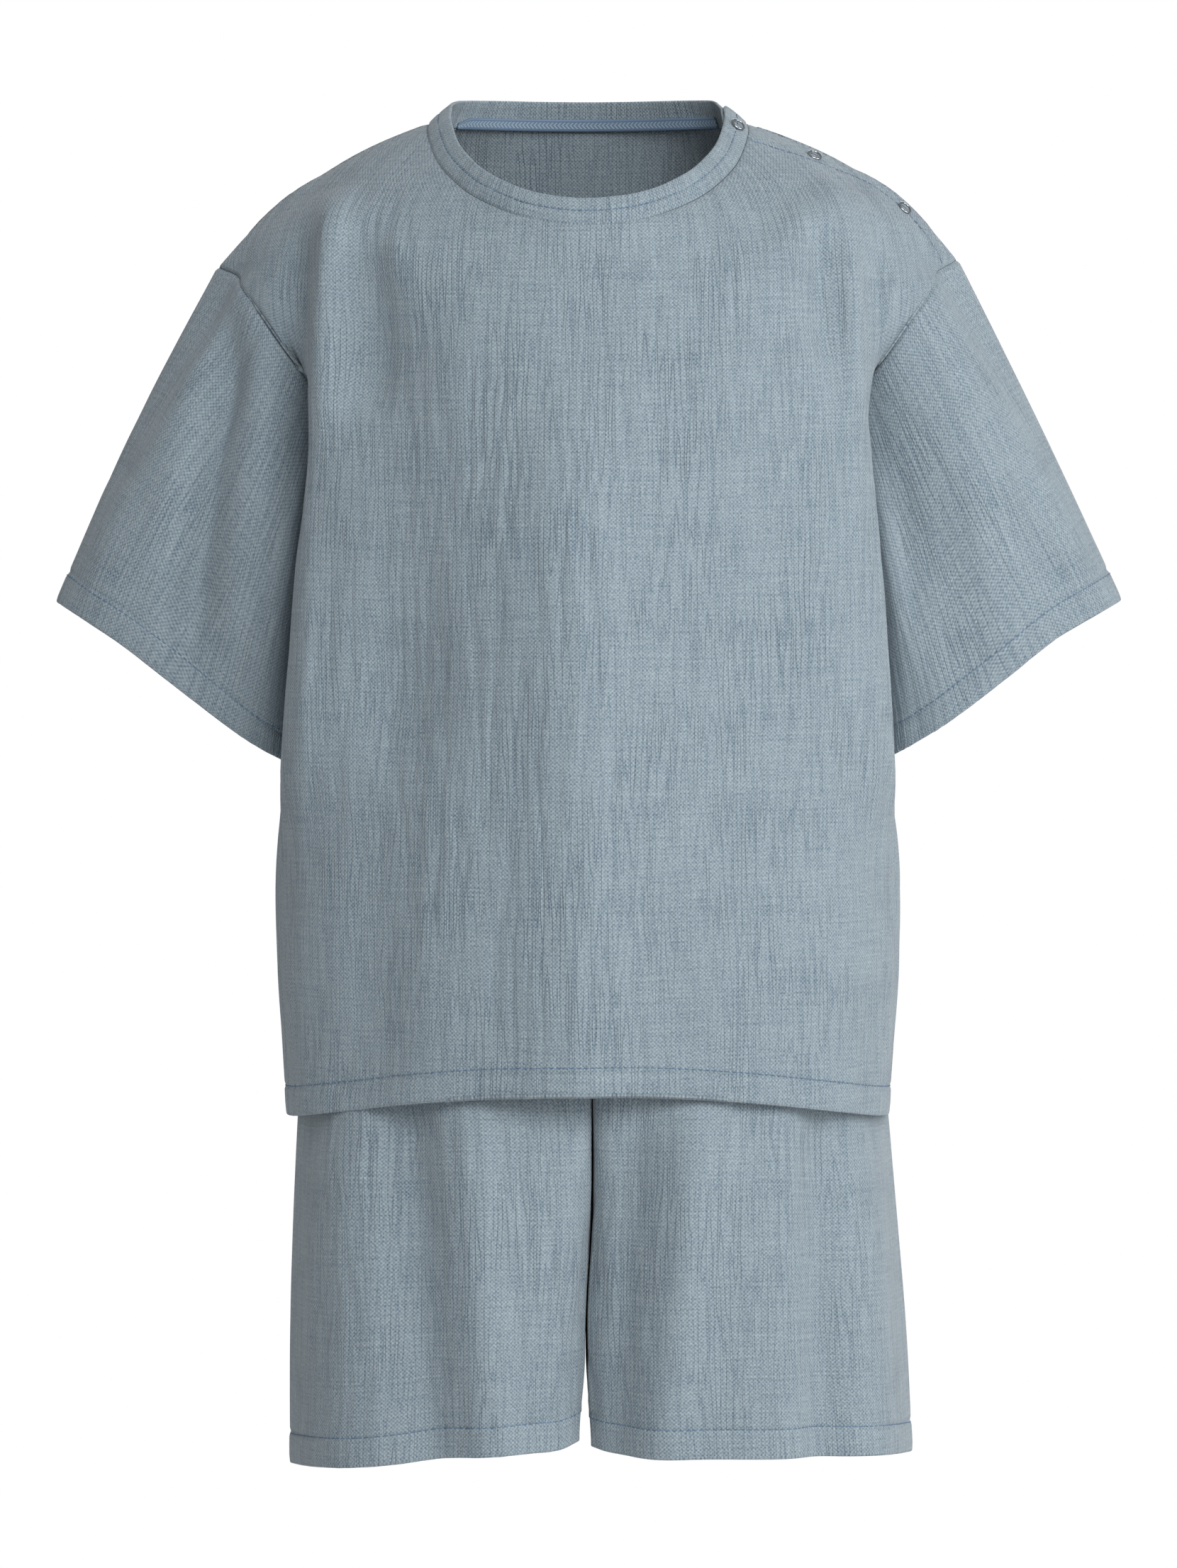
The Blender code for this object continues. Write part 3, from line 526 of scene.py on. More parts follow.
@dataclass(frozen=True)
class Crinkle:
    """Crimped creases of double muslin, which run along the warp."""

    spacing: float = 5.0
    length: float = 52.0
    depth: float = 0.75
    sharpness: float = 3.0
    patch: float = 48.0
    seed: int = 11

    def heights(self, u: Array, v: Array) -> Array:
        """Heights of the creases at places on the cloth, in millimetres."""
        wander = 2.2 * value_noise(u / 26, v / 19, self.seed + 1)
        line = value_noise((u + wander) / self.spacing, v / self.length, self.seed)
        fine = value_noise((u + wander) / (0.5 * self.spacing), v / (0.45 * self.length), self.seed + 2)
        patch = ease(0.5 + 0.9 * value_noise(u / self.patch, v / (1.7 * self.patch), self.seed + 3))
        strength = 0.3 + 0.7 * patch
        groove = (1 - np.abs(line)) ** self.sharpness
        ripple = (1 - np.abs(fine)) ** self.sharpness
        swell = value_noise(u / 17, v / 60, self.seed + 4)
        return -self.depth * strength * (groove + 0.35 * ripple - 0.3) + 0.35 * swell


class Sheet:
    """A cut piece of cloth as a grid of outer points, with its normals and its grain."""

    def __init__(self, points: Array, outward: int, closed: bool = False) -> None:
        """Start from a form.

        Args:
            points: grid of points in millimetres.
            outward: 1 or -1, the sign that turns the grid's normals out.
            closed: whether the last column joins the first.
        """
        self.points = points
        self.outward = outward
        self.closed = closed
        self.turned_rows = 0
        self.u, self.v = self.grain()
        self.refresh()

    def refresh(self) -> None:
        """Work out the normals again."""
        if self.closed:
            around = np.roll(self.points, -1, axis=1) - np.roll(self.points, 1, axis=1)
        else:
            around = np.gradient(self.points, axis=1)
        down = np.gradient(self.points, axis=0)
        self.normals = unit(np.cross(around, down)) * self.outward

    def grain(self) -> tuple[Array, Array]:
        """Places on the cloth: across the warp from the middle column, and down the warp."""
        step = np.diff(self.points, axis=1)
        across = np.hypot(step[..., 0], step[..., 1])
        u = np.concatenate((np.zeros((len(across), 1)), np.cumsum(across, axis=1)), axis=1)
        u -= u[:, u.shape[1] // 2][:, None]
        step = np.diff(self.points, axis=0)
        along = np.hypot(step[..., 1], step[..., 2])
        v = np.concatenate((np.zeros((1, along.shape[1])), np.cumsum(along, axis=0)), axis=0)
        return u, v - self.points[0, :, 2]

    def lift(self, heights: Array) -> None:
        """Move the points out along their normals."""
        self.points = self.points + self.normals * heights[..., None]
        self.refresh()

    def sink_edges(self, edges: tuple[str, ...], depth: float = 0.8, reach: float = 1.1) -> None:
        """Roll the named edges in towards their seam.

        Args:
            edges: any of left, right and top.
            depth: how deep the edge lies in the seam.
            reach: half width of the roll.
        """
        dip = np.zeros(self.points.shape[:2])
        for edge in edges:
            line = {"left": self.points, "right": self.points[:, ::-1],
                    "top": np.swapaxes(self.points, 0, 1)}[edge]
            step = np.linalg.norm(np.diff(line, axis=1), axis=2)
            away = np.concatenate((np.zeros((len(step), 1)), np.cumsum(step, axis=1)), axis=1)
            part = depth * np.exp(-(away / reach) ** 2)
            part = {"left": part, "right": part[:, ::-1], "top": part.T}[edge]
            dip = np.maximum(dip, part)
        self.points = self.points - self.normals * dip[..., None]

    def above_hem(self, height: float) -> tuple[Array, Array]:
        """Points and normals at a height above the bottom edge, one for each column."""
        step = np.linalg.norm(np.diff(self.points[::-1], axis=0), axis=2)
        away = np.concatenate((np.zeros((1, step.shape[1])), np.cumsum(step, axis=0)), axis=0)
        points, normals = [], []
        for column in range(self.points.shape[1]):
            line, facing = self.points[::-1, column], self.normals[::-1, column]
            points.append([np.interp(height, away[:, column], line[:, axis]) for axis in range(3)])
            normals.append([np.interp(height, away[:, column], facing[:, axis]) for axis in range(3)])
        return np.array(points), unit(np.array(normals))

    def turn_up(self, depth: float, radius: float = 0.85) -> None:
        """Fold the bottom edge in and up, as a sewn hem.

        Args:
            depth: depth of the hem.
            radius: radius of the fold at its edge.
        """
        along = unit(self.points[-1] - self.points[-3])
        facing = self.normals[-1]
        inner = [self.above_hem(height) for height in (2.5, 0.5 * depth, depth - 1.0, depth + 0.6)]
        edge = self.points[-1] - along * radius
        rows = [edge]
        for turn in np.radians((36, 72, 108, 144, 180)):
            rows.append(edge + along * radius * math.sin(turn) - facing * radius * (1 - math.cos(turn)))
        rows += [points - normals * 2 * radius for points, normals in inner]
        self.turned_rows = len(rows) - 1
        self.points = np.concatenate((self.points[:-1], np.array(rows)))
        step = np.linalg.norm(np.diff(np.array(rows), axis=0), axis=2).mean(axis=1)
        extra = self.v[-1] + np.cumsum(step)[:, None]
        self.v = np.concatenate((self.v, extra))
        self.u = np.concatenate((self.u, np.repeat(self.u[-1:], len(step), axis=0)))
        self.refresh()

    def build(self, name: str, material: bpy.types.Material, wall: float) -> bpy.types.Object:
        """Make the mesh of the sheet, with its grain as a UV map in metres.

        Args:
            name: name of the piece.
            material: finish of the piece.
            wall: thickness of the cloth, or 0 for a single sheet.

        Returns:
            The new object.
        """
        points, u, v = self.points, self.u, self.v
        if self.closed:
            points = np.concatenate((points, points[:, :1]), axis=1)
            closing = np.linalg.norm(self.points[:, 0] - self.points[:, -1], axis=1)
            u = np.concatenate((u, u[:, -1:] + closing[:, None]), axis=1)
            v = np.concatenate((v, v[:, -1:]), axis=1)
        rows, columns = points.shape[:2]
        work = bmesh.new()
        bmesh.ops.create_grid(work, x_segments=columns - 1, y_segments=rows - 1, size=1.0)
        mesh = bpy.data.meshes.new(name)
        work.to_mesh(mesh)
        work.free()
        place = np.empty(len(mesh.vertices) * 3)
        mesh.vertices.foreach_get("co", place)
        place = place.reshape(-1, 3)
        i = np.rint((place[:, 0] + 1) / 2 * (columns - 1)).astype(int)
        j = np.rint((1 - place[:, 1]) / 2 * (rows - 1)).astype(int)
        mesh.vertices.foreach_set("co", (points[j, i] * MM).ravel())
        corners = np.empty(len(mesh.loops), int)
        mesh.loops.foreach_get("vertex_index", corners)
        layer = mesh.uv_layers.new(name="cloth")
        grain = np.stack((u[j, i], v[j, i]), axis=1)[corners] * MM
        layer.data.foreach_set("uv", grain.ravel())
        middle = mesh.polygons[len(mesh.polygons) // 3]
        corner = middle.vertices[0]
        if Vector(self.all_normals(points)[j[corner], i[corner]]).dot(middle.normal) < 0:
            mesh.flip_normals()
        if self.closed:
            work = bmesh.new()
            work.from_mesh(mesh)
            bmesh.ops.remove_doubles(work, verts=work.verts, dist=1e-6)
            work.to_mesh(mesh)
            work.free()
        return finish_piece(name, mesh, material, wall)

    def all_normals(self, points: Array) -> Array:
        """Outward normals for a grid that may repeat its first column."""
        if points.shape[1] > self.normals.shape[1]:
            return np.concatenate((self.normals, self.normals[:, :1]), axis=1)
        return self.normals


def finish_piece(name: str, mesh: bpy.types.Mesh, material: bpy.types.Material,
                 wall: float = 0.0) -> bpy.types.Object:
    """Make an object of a mesh that lies in its place.

    Args:
        name: name of the piece.
        mesh: its mesh, in metres.
        material: its finish.
        wall: thickness in millimetres that a sheet gets behind its outer face.

    Returns:
        The new object, riding on the garment's one body.
    """
    mesh.shade_smooth()
    mesh.materials.append(material)
    thing = bpy.data.objects.new(name, mesh)
    bpy.context.scene.collection.objects.link(thing)
    if wall:
        shell = thing.modifiers.new("wall", "SOLIDIFY")
        shell.thickness = wall * MM
        shell.offset = -1.0
        shell.use_rim = True
    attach(thing, "root")
    return thing


def linear(colour: str) -> tuple[float, float, float, float]:
    """Linear colour of an sRGB hex value."""
    parts = [int(colour[i:i + 2], 16) / 255 for i in (0, 2, 4)]
    parts = [c / 12.92 if c <= 0.04045 else ((c + 0.055) / 1.055) ** 2.4 for c in parts]
    return parts[0], parts[1], parts[2], 1.0


def add_node(tree: bpy.types.NodeTree, kind: str, settings: dict | None = None,
             links: dict | None = None) -> bpy.types.Node:
    """Add a node with its settings and links.

    Args:
        tree: node tree that takes the node.
        kind: type of the node.
        settings: values by property name, input name or input number.
        links: output sockets by input name or number.

    Returns:
        The new node.
    """
    node = tree.nodes.new(kind)
    for key, value in (settings or {}).items():
        if isinstance(key, int) or key in node.inputs:
            node.inputs[key].default_value = value
        else:
            setattr(node, key, value)
    for key, socket in (links or {}).items():
        tree.links.new(socket, node.inputs[key])
    return node


def new_material(name: str) -> tuple[bpy.types.Material, bpy.types.NodeTree, bpy.types.Node]:
    """A material with its node tree and its Principled shader."""
    material = bpy.data.materials.new(name)
    material.use_nodes = True
    tree = material.node_tree
    return material, tree, tree.nodes["Principled BSDF"]


@dataclass(frozen=True)
class MuslinChambray:
    """Cotton muslin, yarn dyed: a pale warp crossed by a slate blue weft, soft and matt."""

    name: str = "cotton muslin chambray"
    pale: str = "99A5AA"
    slate: str = "4E6070"
    thread_mm: float = 1.5
    slub_mm: float = 0.7
    slub_run_mm: float = 17.0
    crease_mm: float = 2.1
    crease_run_mm: float = 36.0
    weft_weight: float = 0.16
    long_weft_weight: float = 0.11
    warp_weight: float = 0.17
    mottle_weight: float = 0.05
    weave_weight: float = 0.55
    grit_weight: float = 0.3
    # Painted shade: how far the narrow creases tint the colour towards slate.
    crease_shade_weight: float = 0.24
    slate_share: float = 0.56
    roughness: float = 0.92
    weave_depth_mm: float = 0.1
    crease_depth_mm: float = 0.24

    def streaks(self, tree: bpy.types.NodeTree, cloth: bpy.types.NodeSocket, across: float,
                along: float, detail: float) -> bpy.types.NodeSocket:
        """Noise that is stretched along one thread direction.

        Args:
            tree: node tree.
            cloth: places on the cloth in millimetres.
            across: size of a streak across the warp.
            along: size of a streak along the warp.
            detail: octaves of the noise.

        Returns:
            A socket with values from 0 to 1.
        """
        stretch = add_node(tree, "ShaderNodeMapping", {"Scale": (1 / across, 1 / along, 1)},
                           {"Vector": cloth})
        noise = add_node(tree, "ShaderNodeTexNoise", {"Scale": 1.0, "Detail": detail, "Roughness": 0.6},
                         {"Vector": stretch.outputs[0]})
        spread = add_node(tree, "ShaderNodeMapRange", {"From Min": 0.3, "From Max": 0.7},
                          {"Value": noise.outputs["Fac"]})
        return spread.outputs["Result"]

    def creases(self, tree: bpy.types.NodeTree, cloth: bpy.types.NodeSocket) -> bpy.types.NodeSocket:
        """Narrow creases along the warp, 1 in a crease and 0 beside it, gathered in patches.

        Args:
            tree: node tree.
            cloth: places on the cloth in millimetres.

        Returns:
            A socket with values from 0 to 1.
        """
        stretch = add_node(tree, "ShaderNodeMapping",
                           {"Scale": (1 / self.crease_mm, 1 / self.crease_run_mm, 1)}, {"Vector": cloth})
        noise = add_node(tree, "ShaderNodeTexNoise", {"Scale": 1.0, "Detail": 1.0, "Roughness": 0.4,
                                                      "Distortion": 0.15}, {"Vector": stretch.outputs[0]})
        middle = add_node(tree, "ShaderNodeMath", {"operation": "SUBTRACT", 1: 0.5},
                          {0: noise.outputs["Fac"]})
        away = add_node(tree, "ShaderNodeMath", {"operation": "ABSOLUTE"}, {0: middle.outputs[0]})
        line = add_node(tree, "ShaderNodeMapRange",
                        {"interpolation_type": "SMOOTHSTEP", "From Max": 0.075, "To Min": 1.0, "To Max": 0.0},
                        {"Value": away.outputs[0]})
        patch = self.streaks(tree, cloth, 26, 48, 1)
        strength = add_node(tree, "ShaderNodeMapRange", {"To Min": 0.25}, {"Value": patch})
        share = add_node(tree, "ShaderNodeMath", {"operation": "MULTIPLY"},
                         {0: line.outputs["Result"], 1: strength.outputs["Result"]})
        return share.outputs[0]

    def blend(self, tree: bpy.types.NodeTree, parts: list[tuple[bpy.types.NodeSocket, float]],
              base: float) -> bpy.types.NodeSocket:
        """Sum of weighted parts, each measured from its middle.

        Args:
            tree: node tree.
            parts: sockets with their weights.
            base: value where every part is at its middle.

        Returns:
            A socket with the sum.
        """
        total = add_node(tree, "ShaderNodeValue")
        total.outputs[0].default_value = base - 0.5 * sum(weight for _, weight in parts)
        socket = total.outputs[0]
        for part, weight in parts:
            node = add_node(tree, "ShaderNodeMath", {"operation": "MULTIPLY_ADD", 1: weight},
                            {0: part, 2: socket})
            socket = node.outputs[0]
        return socket

    def material(self) -> bpy.types.Material:
        """The node material, patterned on the cloth's own grain, with painted shade darkening the narrow
        creases.
        """
        material, tree, shader = new_material(self.name)
        grain = add_node(tree, "ShaderNodeUVMap", {"uv_map": "cloth"})
        cloth = add_node(tree, "ShaderNodeMapping", {"Scale": (1 / MM, 1 / MM, 1)},
                         {"Vector": grain.outputs[0]}).outputs[0]
        # The real threads lie about 0.4 mm apart. They are drawn coarser, so that the weave's dots show.
        apart = add_node(tree, "ShaderNodeSeparateXYZ", {}, {0: cloth})
        waves = []
        for axis in (0, 1):
            turn = add_node(tree, "ShaderNodeMath",
                            {"operation": "MULTIPLY", 1: math.pi / self.thread_mm * 2},
                            {0: apart.outputs[axis]})
            wave = add_node(tree, "ShaderNodeMath", {"operation": "SINE"}, {0: turn.outputs[0]})
            waves.append(wave.outputs[0])
        check = add_node(tree, "ShaderNodeMath", {"operation": "MULTIPLY"}, {0: waves[0], 1: waves[1]})
        weave = add_node(tree, "ShaderNodeMath", {"operation": "MULTIPLY_ADD", 1: 0.5, 2: 0.5},
                         {0: check.outputs[0]}).outputs[0]
        weft = self.streaks(tree, cloth, self.slub_run_mm, self.slub_mm, 2)
        long_weft = self.streaks(tree, cloth, 3 * self.slub_run_mm, 1.6 * self.slub_mm, 1)
        warp = self.streaks(tree, cloth, self.slub_mm, 1.4 * self.slub_run_mm, 2)
        mottle = self.streaks(tree, cloth, 9, 14, 2)
        grit = self.streaks(tree, cloth, 0.9, 0.9, 0)
        crease = self.creases(tree, cloth)
        # The crease mask also tints the colour towards slate: painted shade in the narrow creases, beside
        # their bump.
        parts = [(weft, self.weft_weight), (long_weft, self.long_weft_weight), (warp, self.warp_weight),
                 (mottle, self.mottle_weight), (weave, self.weave_weight), (grit, self.grit_weight),
                 (crease, self.crease_shade_weight)]
        share = self.blend(tree, parts, self.slate_share)
        tint = add_node(tree, "ShaderNodeMix", {"data_type": "RGBA", 6: linear(self.pale),
                                                7: linear(self.slate)}, {0: share})
        tree.links.new(tint.outputs[2], shader.inputs["Base Color"])
        rise = self.blend(tree, [(crease, -self.crease_depth_mm), (weave, self.weave_depth_mm),
                                 (weft, 0.5 * self.weave_depth_mm), (warp, 0.5 * self.weave_depth_mm)], 0.5)
        bump = add_node(tree, "ShaderNodeBump", {"Strength": 1.0, "Distance": MM}, {"Height": rise})
        tree.links.new(bump.outputs[0], shader.inputs["Normal"])
        shader.inputs["Roughness"].default_value = self.roughness
        shader.inputs["Specular IOR Level"].default_value = 0.25
        shader.inputs["Sheen Weight"].default_value = 0.18
        shader.inputs["Sheen Roughness"].default_value = 0.55
        return material


@dataclass(frozen=True)
class HerringboneTape:
    """Woven polyester tape: smooth borders beside a fine herringbone, with a slight gloss."""

    name: str = "woven polyester tape"
    dark: str = "5A7189"
    light: str = "8B9DAE"
    width_mm: float = 5.0
    border_mm: float = 1.2
    rib_mm: float = 1.7

    def material(self) -> bpy.types.Material:
        """The node material, patterned along the tape."""
        material, tree, shader = new_material(self.name)
        grain = add_node(tree, "ShaderNodeUVMap", {"uv_map": "cloth"})
        place = add_node(tree, "ShaderNodeMapping", {"Scale": (1 / MM, 1 / MM, 1)}, {0: grain.outputs[0]})
        apart = add_node(tree, "ShaderNodeSeparateXYZ", {}, {0: place.outputs[0]})
        off = add_node(tree, "ShaderNodeMath", {"operation": "SUBTRACT", 1: self.width_mm / 2},
                       {0: apart.outputs[1]})
        away = add_node(tree, "ShaderNodeMath", {"operation": "ABSOLUTE"}, {0: off.outputs[0]}).outputs[0]
        slant = add_node(tree, "ShaderNodeMath", {"operation": "ADD"}, {0: apart.outputs[0], 1: away})
        turn = add_node(tree, "ShaderNodeMath", {"operation": "MULTIPLY", 1: 2 * math.pi / self.rib_mm},
                        {0: slant.outputs[0]})
        rib = add_node(tree, "ShaderNodeMath", {"operation": "SINE"}, {0: turn.outputs[0]})
        half = add_node(tree, "ShaderNodeMath", {"operation": "MULTIPLY_ADD", 1: 0.5, 2: 0.5},
                        {0: rib.outputs[0]})
        inside = add_node(tree, "ShaderNodeMath",
                          {"operation": "LESS_THAN", 1: self.width_mm / 2 - self.border_mm}, {0: away})
        share = add_node(tree, "ShaderNodeMath", {"operation": "MULTIPLY"},
                         {0: half.outputs[0], 1: inside.outputs[0]})
        tint = add_node(tree, "ShaderNodeMix", {"data_type": "RGBA", 6: linear(self.dark),
                                                7: linear(self.light)}, {0: share.outputs[0]})
        tree.links.new(tint.outputs[2], shader.inputs["Base Color"])
        bump = add_node(tree, "ShaderNodeBump", {"Strength": 0.6, "Distance": 0.15 * MM},
                        {"Height": share.outputs[0]})
        tree.links.new(bump.outputs[0], shader.inputs["Normal"])
        shader.inputs["Roughness"].default_value = 0.55
        shader.inputs["Sheen Weight"].default_value = 0.1
        return material


@dataclass(frozen=True)
class SewingThread:
    """Spun polyester sewing thread, slate blue, matt with a twisted ply."""

    name: str = "spun polyester thread"
    colour: str = "4C6580"
    ply_mm: float = 0.5

    def material(self) -> bpy.types.Material:
        """The node material, with the ply as a slanted wave."""
        material, tree, shader = new_material(self.name)
        place = add_node(tree, "ShaderNodeTexCoord")
        ply = add_node(tree, "ShaderNodeTexWave", {"Scale": 1 / (self.ply_mm * MM) / 10, "Distortion": 1.0,
                                                   "bands_direction": "DIAGONAL"},
                       {"Vector": place.outputs["Object"]})
        tint = add_node(tree, "ShaderNodeMix", {"data_type": "RGBA", 6: linear(self.colour),
                                                7: linear("627C97")}, {0: ply.outputs["Fac"]})
        tree.links.new(tint.outputs[2], shader.inputs["Base Color"])
        shader.inputs["Roughness"].default_value = 0.7
        return material


@dataclass(frozen=True)
class NickelPlate:
    """Nickel plated brass of the ring snaps: bright, with a faint brushed unevenness."""

    name: str = "nickel plated brass"
    colour: str = "9CA0A3"

    def material(self) -> bpy.types.Material:
        """The node material, with small changes of roughness from handling."""
        material, tree, shader = new_material(self.name)
        place = add_node(tree, "ShaderNodeTexCoord")
        noise = add_node(tree, "ShaderNodeTexNoise", {"Scale": 900.0, "Detail": 3.0},
                         {"Vector": place.outputs["Object"]})
        gloss = add_node(tree, "ShaderNodeMapRange", {"To Min": 0.08, "To Max": 0.24},
                         {"Value": noise.outputs["Fac"]})
        tree.links.new(gloss.outputs["Result"], shader.inputs["Roughness"])
        shader.inputs["Base Color"].default_value = linear(self.colour)
        shader.inputs["Metallic"].default_value = 1.0
        return material


@dataclass(frozen=True)
class PalePaper:
    """Matt white background paper."""

    name: str = "matt background paper"
    colour: str = "F7F7F7"

    def material(self) -> bpy.types.Material:
        """The node material, with a trace of paper tooth."""
        material, tree, shader = new_material(self.name)
        place = add_node(tree, "ShaderNodeTexCoord")
        tooth = add_node(tree, "ShaderNodeTexNoise", {"Scale": 400.0}, {"Vector": place.outputs["Object"]})
        bump = add_node(tree, "ShaderNodeBump", {"Strength": 0.05, "Distance": 0.1 * MM},
                        {"Height": tooth.outputs["Fac"]})
        tree.links.new(bump.outputs[0], shader.inputs["Normal"])
        shader.inputs["Base Color"].default_value = linear(self.colour)
        shader.inputs["Roughness"].default_value = 0.9
        return material


@dataclass(frozen=True)
class Finishes:
    """The finishes that the pieces share."""

    muslin: bpy.types.Material
    tape: bpy.types.Material
    thread: bpy.types.Material
    nickel: bpy.types.Material


@dataclass
class StitchRow:
    """A row of machine stitches along a line on the cloth."""

    name: str
    pitch: float = 2.7
    gap: float = 0.45
    width: float = 0.46
    sides: int = 6

    def build(self, lines: list[tuple[Array, Array]], material: bpy.types.Material) -> bpy.types.Object:
        """Lay the stitches, each a short rounded thread.

        Args:
            lines: points in millimetres with their normals, for each line of the row.
            material: the thread's finish.

        Returns:
            One object with every stitch.
        """
        work = bmesh.new()
        for points, normals in lines:
            length = run_length(points)
            count = max(1, round(length[-1] / self.pitch))
            step = length[-1] / count
            for number in range(count):
                ends = np.array((number * step + self.gap / 2, (number + 1) * step - self.gap / 2))
                at = np.stack([np.interp(ends, length, points[:, axis]) for axis in range(3)], axis=1)
                middle = ends.mean()
                facing = unit(np.array([np.interp(middle, length, normals[:, axis]) for axis in range(3)]))
                self.lay(work, at[0], at[1], facing)
        mesh = bpy.data.meshes.new(self.name)
        work.to_mesh(mesh)
        work.free()
        return finish_piece(self.name, mesh, material)

    def lay(self, work: bmesh.types.BMesh, start: Array, end: Array, facing: Array) -> None:
        """Lay one stitch between two points.

        Args:
            work: mesh that takes the stitch.
            start: first point in millimetres.
            end: last point.
            facing: normal of the cloth between them.
        """
        along = Vector(end - start)
        length = along.length
        along.normalize()
        up = Vector(facing)
        side = along.cross(up).normalized()
        up = side.cross(along)
        turn = Matrix((side, up, along)).transposed().to_4x4()
        middle = Matrix.Translation(Vector((start + end) / 2 + facing * 0.12) * MM)
        size = Matrix.Diagonal((self.width / 2 * MM, 0.7 * self.width / 2 * MM, length / 2 * MM, 1))
        bmesh.ops.create_uvsphere(work, u_segments=self.sides, v_segments=5, radius=1.0,
                                  matrix=middle @ turn @ size)


def spread(start: float, stop: float, count: int, dense: tuple[float, ...] = ()) -> Array:
    """Even places between two ends, with more at the dense places."""
    return np.unique(np.round(np.concatenate((np.linspace(start, stop, count + 1), dense)), 6))


